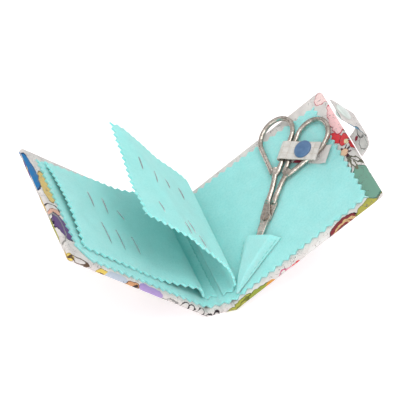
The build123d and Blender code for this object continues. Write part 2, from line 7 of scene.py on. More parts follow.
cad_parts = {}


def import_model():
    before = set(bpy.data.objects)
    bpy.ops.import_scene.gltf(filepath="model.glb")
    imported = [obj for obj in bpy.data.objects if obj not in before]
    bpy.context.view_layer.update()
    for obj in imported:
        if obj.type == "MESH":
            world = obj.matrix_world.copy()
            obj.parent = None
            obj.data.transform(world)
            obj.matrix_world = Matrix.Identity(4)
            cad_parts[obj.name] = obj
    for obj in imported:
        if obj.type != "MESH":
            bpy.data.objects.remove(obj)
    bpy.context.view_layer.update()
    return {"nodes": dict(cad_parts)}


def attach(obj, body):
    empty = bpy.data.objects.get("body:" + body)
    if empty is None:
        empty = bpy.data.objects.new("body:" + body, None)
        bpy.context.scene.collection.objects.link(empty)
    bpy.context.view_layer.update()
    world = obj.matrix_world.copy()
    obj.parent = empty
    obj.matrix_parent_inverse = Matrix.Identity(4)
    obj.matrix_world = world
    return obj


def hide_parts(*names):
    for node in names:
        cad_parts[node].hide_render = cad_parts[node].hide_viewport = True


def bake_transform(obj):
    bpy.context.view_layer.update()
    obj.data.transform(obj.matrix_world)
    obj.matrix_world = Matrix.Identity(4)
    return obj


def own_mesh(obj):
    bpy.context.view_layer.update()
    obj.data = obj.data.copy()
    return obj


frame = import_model()

# ---- sizes, in millimetres

MM = 0.001
CASE_LENGTH = 88.0
COVER_WIDTH = 99.0
SPINE_WIDTH = 16.6
LEFT_SLOPE = math.radians(40.4)
RIGHT_SLOPE = math.radians(36.0)
HINGE_HEIGHT = 0.4
COVER_THICKNESS = 3.2
COVER_TOP = COVER_THICKNESS - HINGE_HEIGHT
FELT = 1.2
LINING_TOP = COVER_TOP + FELT
LINING_LENGTH = 82.5
LINING_END = 92.0
PAGE_START = 6.0
PAGE_END = 88.0
PAGE_FRONT = -36.0
PAGE_BACK = 41.0
PINK_PITCH = 4.85
PINK_DEPTH = 1.9
BINDING_MIDDLE = COVER_THICKNESS + FELT * 1.5

PIVOT_W = 39.3
PIVOT_Y = -9.5
SCISSORS_TURN = math.radians(44.0)
RING_U, RING_V = 48.8, 11.8
RING_LONG, RING_SHORT = 12.8, 11.4
RING_NECK_U, RING_NECK_V, RING_NECK_RADIUS = 28.0, 4.4, 3.6
RING_WIRE = 2.9
SCISSORS_LIFT = 0.7

STRAP_U = 39.6
STRAP_WIDTH = 10.8
STRAP_FOLD_V = 4.6
STRAP_END_V = -20.2
STRAP_HEIGHT = 4.2
SNAP_U = 40.2
SNAP_V = -10.8
SNAP_RADIUS = 5.2

CLOSURE_Y = -4.5
CLOSURE_WIDTH = 17.0
CLOSURE_CLOTH = 1.0


# ---- places


def panel(side, w, y, n):
    """A point of a cover: w out from its fold line, y along the spine, n up off its inside."""
    slope = LEFT_SLOPE if side < 0 else RIGHT_SLOPE
    across = SPINE_WIDTH / 2 + w * math.cos(slope) - n * math.sin(slope)
    up = HINGE_HEIGHT + w * math.sin(slope) + n * math.cos(slope)
    return Vector((side * across, y, up)) * MM


def shell_point(side, s, y, n):
    """A point of the covers' shell: s across from the middle of the spine."""
    if s <= SPINE_WIDTH / 2:
        return Vector((side * s, y, HINGE_HEIGHT + n)) * MM
    return panel(side, s - SPINE_WIDTH / 2, y, n)


def scissors_point(u, v, h):
    """A point beside the scissors' pivot: u towards the rings, h above the lining."""
    w = PIVOT_W + u * math.cos(SCISSORS_TURN) - v * math.sin(SCISSORS_TURN)
    y = PIVOT_Y + u * math.sin(SCISSORS_TURN) + v * math.cos(SCISSORS_TURN)
    return panel(1, w, y, LINING_TOP + h)


def curve_at(points, share):
    """A smooth curve through points, at a share of their number."""
    run = max(0.0, min(share, 1.0)) * (len(points) - 1)
    i = min(int(run), len(points) - 2)
    f = run - i
    before = points[max(i - 1, 0)]
    after = points[min(i + 2, len(points) - 1)]
    found = []
    for a, b, c, d in zip(before, points[i], points[i + 1], after):
        found.append(0.5 * (
            2 * b + (c - a) * f
            + (2 * a - 5 * b + 4 * c - d) * f ** 2
            + (3 * b - a - 3 * c + d) * f ** 3
        ))
    return found


def even(points, count):
    """count + 1 points at equal distances along a smooth curve through points."""
    fine = [Vector(curve_at(points, k / 400)) for k in range(401)]
    runs = [0.0]
    for a, b in zip(fine, fine[1:]):
        runs.append(runs[-1] + (b - a).length)
    found = []
    k = 0
    for step in range(count + 1):
        goal = runs[-1] * step / count
        while k < 399 and runs[k + 1] < goal:
            k += 1
        part = (goal - runs[k]) / max(runs[k + 1] - runs[k], 1e-9)
        found.append(fine[k].lerp(fine[k + 1], part))
    return found, runs[-1]


def smooth(x):
    """0 to 1 with soft ends."""
    x = max(0.0, min(1.0, x))
    return x * x * (3 - 2 * x)


def ripple(x, y, size, seed=0.0):
    """Soft noise from about -1 to 1 over a surface, in millimetres."""
    return noise.noise(Vector((x / size, y / size, seed)))


# ---- mesh builders


def link(obj):
    bpy.context.scene.collection.objects.link(obj)


UV_UNIT = 100  # millimetres of cloth to one unit of its UV map


def new_piece(name, points, faces, uvs, material, body=None, replaces=(), slot=None):
    """A mesh piece; uvs holds one (u, v) in millimetres for each corner of each face."""
    mesh = bpy.data.meshes.new(name)
    mesh.from_pydata([tuple(p) for p in points], [], faces)
    layer = mesh.uv_layers.new(name="cut")
    corner = 0
    for face in uvs:
        for u, v in face:
            layer.data[corner].uv = (u / UV_UNIT, v / UV_UNIT)
            corner += 1
    mesh.materials.append(material)
    mesh.shade_smooth()
    obj = bpy.data.objects.new(name, mesh)
    link(obj)
    if body:
        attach(obj, body)
    if replaces:
        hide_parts(*replaces)
    return obj


def loft(rings, coords, cap=True):
    """Points, faces and corner coordinates of closed rings joined in order."""
    count = len(rings[0])
    points = [p for ring in rings for p in ring]
    faces, uvs = [], []
    for i in range(len(rings) - 1):
        for j in range(count):
            k = (j + 1) % count
            faces.append((i * count + j, i * count + k, (i + 1) * count + k, (i + 1) * count + j))
            uvs.append((coords[i][j], coords[i][j + 1], coords[i + 1][j + 1], coords[i + 1][j]))
    if cap:
        faces.append(tuple(range(count))[::-1])
        uvs.append([coords[0][j] for j in range(count)][::-1])
        last = (len(rings) - 1) * count
        faces.append(tuple(last + j for j in range(count)))
        uvs.append([coords[-1][j] for j in range(count)])
    return points, faces, uvs


def sheet_piece(name, grid, cut, thickness, material, part=None, **facts):
    """A sheet with two faces and a crisp cut edge, from a grid of its middle surface.
    part is the range of the grid's rows that this piece holds."""
    rows, columns = len(grid), len(grid[0])
    first, last = part or (0, rows - 1)
    normals = []
    for i in range(rows):
        normals.append([])
        for j in range(columns):
            along = grid[min(i + 1, rows - 1)][j] - grid[max(i - 1, 0)][j]
            across = grid[i][min(j + 1, columns - 1)] - grid[i][max(j - 1, 0)]
            normals[-1].append(along.cross(across).normalized())
    points, face_up, face_down = [], {}, {}
    for i in range(first, last + 1):
        for j in range(columns):
            face_up[i, j] = len(points)
            points.append(grid[i][j] + normals[i][j] * (thickness * MM / 2))
            face_down[i, j] = len(points)
            points.append(grid[i][j] - normals[i][j] * (thickness * MM / 2))
    faces, uvs, corner_normals = [], [], []

    def add(corners):
        faces.append([index for index, _, _ in corners])
        uvs.append([coordinate for _, coordinate, _ in corners])
        corner_normals.extend(direction for _, _, direction in corners)

    for i in range(first, last):
        for j in range(columns - 1):
            around = [(i, j), (i + 1, j), (i + 1, j + 1), (i, j + 1)]
            add([(face_up[a], cut[a[0]][a[1]], normals[a[0]][a[1]]) for a in around])
            add([(face_down[a], cut[a[0]][a[1]], -normals[a[0]][a[1]])
                 for a in reversed(around)])
    rim = [(i, 0) for i in range(first, last)]
    rim += [(last, j) for j in range(columns - 1)]
    rim += [(i, columns - 1) for i in range(last, first, -1)]
    rim += [(first, j) for j in range(columns - 1, 0, -1)]
    for a, b in zip(rim, rim[1:] + rim[:1]):
        out = (points[face_up[b]] - points[face_up[a]]).cross(normals[a[0]][a[1]]).normalized()
        add([(face_up[b], cut[b[0]][b[1]], out), (face_up[a], cut[a[0]][a[1]], out),
             (face_down[a], cut[a[0]][a[1]], out), (face_down[b], cut[b[0]][b[1]], out)])
    obj = new_piece(name, points, faces, uvs, material, **facts)
    obj.data.normals_split_custom_set([tuple(n) for n in corner_normals])
    return obj


TOOTH = (0.0, 0.5, 1.0, 0.5)
TOOTH_FADE = 2.6 * PINK_DEPTH  # the cut eases back into a straight grid over this distance


def pinked_grid(start, end, front, back, place):
    """A grid of a sheet with pinked front, back and end, and its cut coordinates;
    place(s, y) gives a point."""
    columns = 4 * round((end - start) / PINK_PITCH)
    rows = 4 * round((back - front) / PINK_PITCH)
    grid, cut = [], []
    for i in range(columns + 1):
        line, flat = [], []
        for j in range(rows + 1):
            s = start + (end - start) * i / columns
            y = front + (back - front) * j / rows
            notch_y = PINK_DEPTH * TOOTH[i % 4]
            notch_s = PINK_DEPTH * TOOTH[j % 4]
            shift = notch_y * max(0.0, 1 - (y - front) / TOOTH_FADE)
            shift -= notch_y * max(0.0, 1 - (back - y) / TOOTH_FADE)
            draw = notch_s * max(0.0, 1 - (end - s) / TOOTH_FADE)
            line.append(place(s - draw, y + shift))
            flat.append((s - draw, y + shift))
        grid.append(line)
        cut.append(flat)
    return grid, cut


def tube(path, radii, up, segments=10, flatten=1.0, closed=False):
    """A round bar along path; radii holds one radius for each point, flatten its height's
    share of its width, and up the direction that height is measured in."""
    rings, coords = [], []
    count = len(path)
    for i, point in enumerate(path):
        ahead = path[(i + 1) % count] if closed else path[min(i + 1, count - 1)]
        behind = path[i - 1] if closed or i else path[0]
        along = (ahead - behind).normalized()
        side = up.cross(along).normalized()
        rise = along.cross(side).normalized()
        ring = []
        for k in range(segments):
            turn = 2 * math.pi * k / segments
            ring.append(point + side * (radii[i] * math.cos(turn) * MM)
                        + rise * (radii[i] * math.sin(turn) * flatten * MM))
        rings.append(ring)
        coords.append([(i * 1.0, 10.0 * k / segments) for k in range(segments + 1)])
    if closed:
        rings.append(rings[0])
        coords.append([(count, c[1]) for c in coords[0]])
    return loft(rings, coords, cap=not closed)


def joined(parts):
    """Several (points, faces, uvs) as one."""
    points, faces, uvs = [], [], []
    for p, f, u in parts:
        base = len(points)
        points += p
        faces += [tuple(base + k for k in face) for face in f]
        uvs += u
    return points, faces, uvs


def lathe(profile, place, axis, segments=48):
    """A turned shape: profile holds (radius, height) along axis from place."""
    helper = Vector((0, 1, 0)) if abs(axis.y) < 0.9 else Vector((1, 0, 0))
    a = axis.cross(helper).normalized()
    b = axis.cross(a).normalized()
    rings, coords = [], []
    for i, (radius, height) in enumerate(profile):
        ring = []
        for k in range(segments):
            turn = 2 * math.pi * k / segments
            ring.append(place + (a * math.cos(turn) + b * math.sin(turn)) * (radius * MM)
                        + axis * (height * MM))
        rings.append(ring)
        coords.append([(i, 20.0 * k / segments) for k in range(segments + 1)])
    return loft(rings, coords)


FINE_WELD = 0.000001


def weld(obj, distance=0.00002):
    """Joins points that lie on each other and turns every face outwards."""
    b = bmesh.new()
    b.from_mesh(obj.data)
    bmesh.ops.remove_doubles(b, verts=b.verts, dist=distance)
    bmesh.ops.recalc_face_normals(b, faces=b.faces)
    b.to_mesh(obj.data)
    b.free()
    obj.data.shade_smooth()
    return obj


def settle(obj):
    """Applies a piece's modifiers."""
    graph = bpy.context.evaluated_depsgraph_get()
    graph.update()
    mesh = bpy.data.meshes.new_from_object(
        obj.evaluated_get(graph), preserve_all_data_layers=True, depsgraph=graph)
    obj.modifiers.clear()
    obj.data = mesh
    return obj


# ---- material tools


def colour(code):
    """A hex colour as linear RGBA."""
    channels = [int(code[k:k + 2], 16) / 255 for k in (1, 3, 5)]
    linear = [c / 12.92 if c <= 0.04045 else ((c + 0.055) / 1.055) ** 2.4 for c in channels]
    return (*linear, 1.0)


class Paint:
    """A procedural material, built node by node."""

    def __init__(self, name, **surface):
        self.material = bpy.data.materials.new(name)
        self.material.use_nodes = True
        self.tree = self.material.node_tree
        self.tree.nodes.clear()
        self.output = self.tree.nodes.new("ShaderNodeOutputMaterial")
        self.surface = self.add("ShaderNodeBsdfPrincipled", {
            key.replace("_", " ").title().replace("Ior", "IOR"): value
            for key, value in surface.items()
        })
        self.tree.links.new(self.surface.outputs[0], self.output.inputs["Surface"])

    def add(self, kind, inputs=None, **settings):
        found = self.tree.nodes.new(kind)
        for key, value in settings.items():
            setattr(found, key, value)
        for key, value in (inputs or {}).items():
            if isinstance(value, bpy.types.NodeSocket):
                self.tree.links.new(value, found.inputs[key])
            else:
                found.inputs[key].default_value = value
        return found

    def uv(self):
        """The cut coordinates, in millimetres."""
        where = self.add("ShaderNodeUVMap", uv_map="cut").outputs[0]
        return self.add("ShaderNodeVectorMath", {0: where, 1: (UV_UNIT,) * 3},
                        operation="MULTIPLY").outputs[0]

    def solid(self):
        """The piece's own coordinates, in metres."""
        return self.add("ShaderNodeTexCoord").outputs["Object"]

    def noise(self, where, scale, detail=3.0, roughness=0.55, distortion=0.0, output=0):
        return self.add("ShaderNodeTexNoise", {
            "Vector": where, "Scale": scale, "Detail": detail,
            "Roughness": roughness, "Distortion": distortion}).outputs[output]

    def math(self, kind, a, b=0.0, c=None):
        inputs = {0: a, 1: b}
        if c is not None:
            inputs[2] = c
        return self.add("ShaderNodeMath", inputs, operation=kind).outputs[0]

    def average(self, a, b, share):
        """share of a and the rest of b."""
        return self.math("MULTIPLY_ADD", a, share, self.math("MULTIPLY", b, 1 - share))

    def ramp(self, value, stops):
        found = self.add("ShaderNodeValToRGB", {0: value})
        band = found.color_ramp
        while len(band.elements) < len(stops):
            band.elements.new(0.5)
        for element, (place, tint) in zip(band.elements, stops):
            if isinstance(tint, str):
                tint = colour(tint)
            elif isinstance(tint, float):
                tint = (tint, tint, tint, 1)
            element.position = place
            element.color = tint
        return found.outputs[0]

    def mix(self, share, a, b, blend="MIX"):
        found = self.add("ShaderNodeMix", data_type="RGBA", blend_type=blend)
        for index, value in ((0, share), (6, a), (7, b)):
            if isinstance(value, str):
                value = colour(value)
            if isinstance(value, bpy.types.NodeSocket):
                self.tree.links.new(value, found.inputs[index])
            else:
                found.inputs[index].default_value = value
        return found.outputs[2]

    def bump(self, height, distance, strength=1.0, under=None):
        inputs = {"Height": height, "Distance": distance * MM, "Strength": strength}
        if under is not None:
            inputs["Normal"] = under
        return self.add("ShaderNodeBump", inputs).outputs[0]

    def set(self, name, value):
        if isinstance(value, bpy.types.NodeSocket):
            self.tree.links.new(value, self.surface.inputs[name])
        else:
            self.surface.inputs[name].default_value = value


def felt_material(name, light, mid, deep):
    """Pressed wool: tangled fibres, soft mottling and a faint nap."""
    paint = Paint(name, roughness=0.95, sheen_weight=0.3, sheen_roughness=0.6,
                  specular_ior_level=0.15, subsurface_weight=0.6, subsurface_scale=0.004)
    paint.surface.inputs["Sheen Tint"].default_value = colour("#dff6f4")
    paint.surface.inputs["Subsurface Radius"].default_value = (0.25, 1.0, 0.95)
    where = paint.uv()
    cloud = paint.noise(where, 0.09, 3)
    tufts = paint.noise(where, 0.9, 4, 0.6, 0.6)
    fibres = paint.noise(where, 3.2, 5, 0.7, 2.2)
    blended = paint.average(fibres, tufts, 0.45)
    tint = paint.ramp(blended, [(0.30, deep), (0.50, mid), (0.70, light)])
    shade = paint.ramp(cloud, [(0.30, (0.90, 0.93, 0.93, 1)), (0.70, (1.0, 1.0, 1.0, 1))])
    paint.set("Base Color", paint.mix(1.0, tint, shade, "MULTIPLY"))
    paint.set("Roughness", paint.ramp(fibres, [(0.2, 0.88), (0.8, 1.0)]))
    rough = paint.bump(tufts, 0.25, 0.6)
    paint.set("Normal", paint.bump(fibres, 0.16, 0.7, rough))
    return paint.material


def weave(paint, where, pitch):
    """Height of a plain weave, its threads pitch apart."""
    turns = 2 * math.pi / pitch
    parts = paint.add("ShaderNodeSeparateXYZ", {0: where})
    across = paint.math("SINE", paint.math("MULTIPLY", parts.outputs[0], turns))
    along = paint.math("SINE", paint.math("MULTIPLY", parts.outputs[1], turns))
    return paint.math("MULTIPLY_ADD", paint.math("MULTIPLY", across, along), 0.5, 0.5)


def cotton_finish(paint, where, tint):
    """Weave, slubs and small creases over a printed or plain colour."""
    threads = weave(paint, where, 0.55)
    slubs = paint.noise(where, 1.6, 4, 0.6)
    creases = paint.noise(where, 0.12, 4, 0.6, 0.8)
    shade = paint.ramp(paint.average(threads, slubs, 0.35),
                       [(0.2, 0.86), (0.7, 1.0)])
    paint.set("Base Color", paint.mix(0.8, tint, shade, "MULTIPLY"))
    paint.set("Roughness", paint.ramp(slubs, [(0.3, 0.78), (0.7, 0.92)]))
    low = paint.bump(creases, 0.5, 0.35)
    paint.set("Normal", paint.bump(threads, 0.06, 0.6, low))


INK = "#2a2226"
RING = "ring"  # in the outline's place: the motif is a bare line
PEN = 0.32  # half of a drawn line's width
# the print's motifs: middle across and along, both half-sizes, turn, colour, outline
MOTIFS = [
    # left cover, along the fore-edge from the back to the front
    (-109, 26, 5, 15.5, 4, "#1f6ea6", "#16385c"),
    (-101, 14, 3.6, 12.5, -4, "#d9ba72", "#8d7442"),
    (-104.5, -5, 5.2, 3.6, 25, INK, RING),
    (-103.5, -7.4, 4.2, 2.6, 20, "#d7a893", "#6d4c49"),
    (-102.6, -18.5, 4.2, 10, 10, "#5f4579", "#251a32"),
    (-108, -22, 5.5, 13, -14, "#8d8a86", RING),
    (-109.6, -44, 4.6, 3.6, 15, "#dcc162", "#a08436"),
    (-108.8, -45.4, 1.9, 1.3, 15, "#c29a3f", None),
    (-101, -43.6, 6, 1.4, -8, "#5c4636", RING),
    # left cover, front band from the fore-edge to the spine
    (-84.5, -46.6, 4, 3.4, 0, "#dcc05c", "#8f7428"),
    (-87, -47.4, 3.6, 1.2, 20, "#5c3c24", RING),
    (-74, -45.4, 8.4, 3.6, -4, "#b3bdca", None),
    (-63.4, -46, 4.6, 3, 12, "#c89268", "#4c2c22"),
    (-61, -45.6, 1.9, 1.4, 40, "#33221d", None),
    (-66, -47, 2.6, 1.2, 0, "#d6b060", None),
    (-50.5, -44.4, 8.6, 3, -6, "#a58ec2", None),
    (-37, -46.4, 5.4, 1.8, 12, "#8c8a88", RING),
    (-25.5, -46, 3, 3.4, 0, INK, RING),
    (-21, -45.6, 2.2, 3, 20, INK, RING),
    (-14.5, -45.8, 2.4, 3.2, -10, INK, RING),
    (-8, -46.2, 2.2, 2.9, 12, INK, RING),
    (-3.2, -46, 1.8, 2.8, 0, INK, RING),
    # right cover, front band from the spine to the fore-edge
    (11.5, -45.2, 8.4, 3, 10, "#a3a346", "#5d6224"),
    (12, -45.2, 5, 1.2, 14, "#6d7230", RING),
    (24.5, -45.6, 7.4, 2.6, -4, "#8f9a3f", "#5d6224"),
    (31, -46, 4, 1.7, 10, "#d2923c", None),
    (40, -46, 3.3, 2.2, 20, "#c4557a", RING),
    (43.8, -46.2, 2.3, 1.9, 0, "#f0b9c3", "#c4557a"),
    (49.3, -46, 2.1, 1.6, 15, "#cc2f3d", None),
    (47.4, -45.2, 1.2, 1, 0, "#d94a50", None),
    (64, -44.6, 9, 1.3, 2, "#dedcda", None),
    (80.6, -44.6, 8.8, 3.4, 6, "#7c2c33", "#33181c"),
    (79, -46, 5.6, 2.2, 12, "#c7a878", RING),
    (80.5, -46.6, 7.6, 3.4, 12, "#c7a878", RING),
    (79, -47.2, 3.4, 1.4, 12, "#8d9a8c", INK),
    (98, -43.4, 8.2, 2.3, 10, "#a3a04a", "#6f7030"),
    # right cover, fore-edge from the front to the back
    (103.4, -30.5, 5.4, 12.6, 3, "#6f9a88", "#4c6f62"),
    (109.6, -28, 2.2, 17, 2, "#e6e3de", None),
    (100, -14.5, 1, 4.6, -20, "#5e5c4e", RING),
    (102.4, -13.6, 1.1, 5.2, 8, "#6d6a58", RING),
    (104.8, -12.8, 1, 4.4, 26, "#5e5c4e", RING),
    (101.4, -4.4, 4.4, 0.9, 10, "#45222c", None),
    (101.4, -4.4, 4.2, 0.9, 55, "#45222c", None),
    (101.4, -4.4, 4.2, 0.9, 100, "#45222c", None),
    (101.4, -4.4, 4.4, 0.9, 145, "#45222c", None),
    (101.4, -4.4, 2.3, 2.3, 0, "#ecc4a4", "#8f5a4a"),
    (101.6, 7.4, 2.4, 4.6, 20, "#dd3b42", "#8f1f2a"),
    (104.8, 3.4, 2.3, 3.6, -30, "#e2474a", "#8f1f2a"),
    (108.2, -2.6, 2.2, 3.4, 15, "#dd3b42", "#8f1f2a"),
    (105.2, 1, 1.3, 1.7, 0, "#f3e2b5", None),
    (104.6, 14.4, 1.2, 5.4, 30, "#6c6a52", RING),
    (107.4, 21.5, 4.2, 12.5, -14, "#f0c3c4", "#b83248"),
    (106, 38.6, 4.8, 3.6, 30, "#efd2cf", "#b83248"),
    # closure strap, cut beside the case
    (165, -11, 6.6, 3, 4, "#4f93b4", INK),
    (163, -9.6, 3.2, 1.4, -20, "#8fc4d4", None),
    (174.5, -10.6, 2.6, 1.6, 10, "#3b4a52", INK),
    (155.5, -12.4, 1.4, 0.8, 0, INK, None),
    (173, -4, 3.2, 2.4, 0, "#c9dcd4", None),
    (158, -5, 5.2, 6.2, 24, INK, RING),
    (150.5, -2, 5.4, 4.8, -22, INK, RING),
    (154, -8.8, 1.8, 1.2, 0, "#33222a", None),
    (146, -8.5, 3.6, 4.4, 12, "#8d8a86", RING),
    (143, -1.5, 1.6, 1.1, 30, "#8c2438", None),
    # the piece of print that shows on the strap's base layer
    (230, 0, 5, 3.2, 20, "#a63245", "#5c1a28"),
    (227, 1, 4.4, 2.2, -20, "#5c1a28", RING),
]


def printed_cotton():
    """Off-white cotton with scattered flowers, leaves and outlined shapes."""
    paint = Paint("printed_cotton", roughness=0.85, sheen_weight=0.12, specular_ior_level=0.25)
    where = paint.uv()
    wobble = paint.noise(where, 0.35, 2, 0.5, output="Color")
    moved = paint.add("ShaderNodeVectorMath", {0: wobble, 1: (0.5, 0.5, 0.5)},
                      operation="SUBTRACT").outputs[0]
    moved = paint.add("ShaderNodeVectorMath", {0: moved, 1: (2.6, 2.6, 0.0), 2: where},
                      operation="MULTIPLY_ADD").outputs[0]
    ground = paint.noise(where, 0.2, 3)
    tint = paint.ramp(ground, [(0.35, "#cdc7c4"), (0.65, "#ddd8d4")])

    # the rest of the cloth, on the outside: flowers in every colour, with dark outlines
    cells = paint.add("ShaderNodeTexVoronoi", {"Vector": moved, "Scale": 0.062},
                      voronoi_dimensions="2D")
    near, cell = cells.outputs["Distance"], cells.outputs["Color"]
    pick = paint.add("ShaderNodeSeparateColor", {0: cell}).outputs[0]
    flowers = paint.ramp(pick, [
        (0.0, "#2f79b8"), (0.16, "#d9ba72"), (0.3, "#6d4b8a"),
        (0.44, "#a3a346"), (0.58, "#dd3b42"), (0.7, "#f0c3c4"),
        (0.84, "#6f9a88"), (0.95, "#b3bdca")])
    paint.tree.nodes[-1].color_ramp.interpolation = "CONSTANT"
    petals = paint.noise(moved, 0.28, 2, 0.5)
    edge = paint.math("MULTIPLY_ADD", petals, 0.42, near)
    parts = paint.add("ShaderNodeSeparateXYZ", {0: where})
    outside = paint.math("LESS_THAN", parts.outputs[1], -48.5)
    line = paint.math("MULTIPLY", paint.math("LESS_THAN", edge, 0.60), outside)
    inner = paint.math("MULTIPLY", paint.math("LESS_THAN", edge, 0.57), outside)
    heart = paint.math("MULTIPLY", paint.math("LESS_THAN", near, 0.09), outside)
    tint = paint.mix(line, tint, INK)
    tint = paint.mix(inner, tint, flowers)
    tint = paint.mix(heart, tint, "#e8cf78")

    for across, along, half, other_half, turn, ink, outline in MOTIFS:
        spot = paint.add("ShaderNodeMapping", {
            "Vector": moved,
            "Location": (across, along, 0.0),
            "Rotation": (0.0, 0.0, math.radians(turn)),
            "Scale": (half, other_half, 1.0),
        }, vector_type="TEXTURE").outputs[0]
        far = paint.add("ShaderNodeVectorMath", {0: spot}, operation="LENGTH").outputs["Value"]
        thin = PEN / min(half, other_half)
        if outline == RING:
            tint = paint.mix(paint.math("COMPARE", far, 1.0, thin), tint, ink)
            continue
        if outline:
            tint = paint.mix(paint.math("LESS_THAN", far, 1.0 + thin), tint, outline)
        tint = paint.mix(paint.math("LESS_THAN", far, 1.0), tint, ink)
    # fine ink scribbles between the motifs
    scribble = paint.noise(moved, 0.17, 2, 0.5, 1.4)
    thin = paint.math("COMPARE", scribble, 0.5, 0.006)
    patch = paint.math("GREATER_THAN", paint.noise(where, 0.08, 2), 0.47)
    tint = paint.mix(paint.math("MULTIPLY", thin, patch), tint, "#6b6468")
    cotton_finish(paint, where, tint)
    return paint.material


def plain_cotton():
    """Off-white cotton with faint woven checks and stitch-like lines."""
    paint = Paint("plain_cotton", roughness=0.88, sheen_weight=0.12, specular_ior_level=0.25)
    where = paint.uv()
    cloud = paint.noise(where, 0.3, 3)
    tint = paint.ramp(cloud, [(0.35, "#c6c0ba"), (0.65, "#dad5d0")])
    parts = paint.add("ShaderNodeSeparateXYZ", {0: where})
    for axis, pitch, phase in ((0, 4.1, 0.6), (1, 3.6, 1.7)):
        run = paint.math("MULTIPLY_ADD", parts.outputs[axis], 2 * math.pi / pitch, phase)
        line = paint.math("GREATER_THAN", paint.math("SINE", run), 0.985)
        broken = paint.math("GREATER_THAN", paint.noise(where, 0.6, 2), 0.47)
        tint = paint.mix(paint.math("MULTIPLY", line, broken), tint, "#b9ab9d")
    cotton_finish(paint, where, tint)
    return paint.material


def metal_material(name, light, dark, grip):
    """Nickel: warm, a little worn, with light and dark patches in its colour that are partly wear
    and partly painted reflection, and an embossed ground on the parts that are held.
    """
    paint = Paint(name, metallic=1.0, roughness=0.3)
    where = paint.solid()
    wear_and_reflection = paint.noise(where, 900, 4, 0.6)
    broad_wear_and_reflection = paint.noise(where, 160, 3, 0.5)
    share = paint.average(wear_and_reflection, broad_wear_and_reflection, 0.5)
    # painted reflection: the base colour's dark and light patches are partly worn tone and partly
    # stand in for the dark edges and bright highlights that reflections give polished metal
    paint.set("Base Color", paint.ramp(share, [(0.32, dark), (0.62, light)]))
    paint.set("Roughness", paint.ramp(share, [(0.3, 0.34), (0.7, 0.16)]))
    if grip:
        scroll = paint.add("ShaderNodeTexVoronoi", {"Vector": where, "Scale": 720},
                           feature="SMOOTH_F1").outputs["Distance"]
        paint.set("Normal", paint.bump(scroll, 0.5, grip, paint.bump(wear_and_reflection, 0.08, 0.3)))
    else:
        paint.set("Normal", paint.bump(wear_and_reflection, 0.03, 0.3))
    return paint.material


def plastic_material(name, deep, light):
    """Snap plastic with a soft moulded skin."""
    paint = Paint(name, roughness=0.38, specular_ior_level=0.5, coat_weight=0.12)
    where = paint.solid()
    cloud = paint.noise(where, 420, 3)
    fine = paint.noise(where, 3800, 3)
    paint.set("Base Color", paint.ramp(cloud, [(0.3, deep), (0.7, light)]))
    paint.set("Roughness", paint.ramp(fine, [(0.3, 0.32), (0.7, 0.5)]))
    paint.set("Normal", paint.bump(fine, 0.02, 0.4))
    return paint.material


def board_material():
    """Grey millboard: flecked pulp."""
    paint = Paint("greyboard", roughness=0.95)
    where = paint.solid()
    pulp = paint.noise(where, 1500, 5, 0.7, 0.6)
    paint.set("Base Color", paint.ramp(pulp, [(0.3, "#77736b"), (0.7, "#a29d93")]))
    paint.set("Normal", paint.bump(pulp, 0.1, 0.5))
    return paint.material


def thread_material(name, light, dark):
    """Sewing thread: two twisted plies."""
    paint = Paint(name, roughness=0.7, sheen_weight=0.3)
    where = paint.uv()
    parts = paint.add("ShaderNodeSeparateXYZ", {0: where})
    turn = paint.math("MULTIPLY_ADD", parts.outputs[0], 3.2,
                      paint.math("MULTIPLY", parts.outputs[1], 1.256))
    ply = paint.math("SINE", turn)
    fuzz = paint.noise(where, 1.7, 3)
    share = paint.math("MULTIPLY_ADD", ply, 0.25, fuzz)
    paint.set("Base Color", paint.ramp(share, [(0.25, dark), (0.7, light)]))
    paint.set("Normal", paint.bump(ply, 0.08, 0.6))
    return paint.material


felt = felt_material("felt", "#a9e6e2", "#9de1dd", "#8dd7d2")
pocket_felt = felt_material("pocket_felt", "#afe9e5", "#a5e4e0", "#94d9d4")
cotton = printed_cotton()
strap_cotton = plain_cotton()
# each metal's light and dark colours are its worn tone and a painted reflection contrast
nickel = metal_material("nickel", "#d2cac1", "#857a70", 0.35)
blade_steel = metal_material("blade_steel", "#b3aaa2", "#8a8078", 0.0)
needle_steel = metal_material("needle_steel", "#c9cccf", "#8e9296", 0.0)
plastic = plastic_material("blue_snap", "#45658c", "#527399")
pale_plastic = plastic_material("pale_snap", "#c3cfc9", "#d8dfdb")
greyboard = board_material()
thread = thread_material("thread", "#8fdcd6", "#63bfb9")

for node, material in (
    ("spine_board", greyboard), ("left_board", greyboard), ("right_board", greyboard),
    ("closure_stud_rivet", pale_plastic), ("scissors_screw", blade_steel),
):
    for slot_of_node in frame["nodes"][node].material_slots:
        slot_of_node.material = material


# ---- printed cover

EDGE = COVER_THICKNESS / 2
MIDDLE = COVER_TOP - EDGE
FOLD_TOP = 2.2  # the cloth dips to this height along each fold, between these two places
DIP_START, DIP_START_ROUND = 5.0, 1.4
DIP_END, DIP_END_ROUND = SPINE_WIDTH / 2 + 3.4, 1.5
CORNER = 2.4  # radius of the covers' outer corners


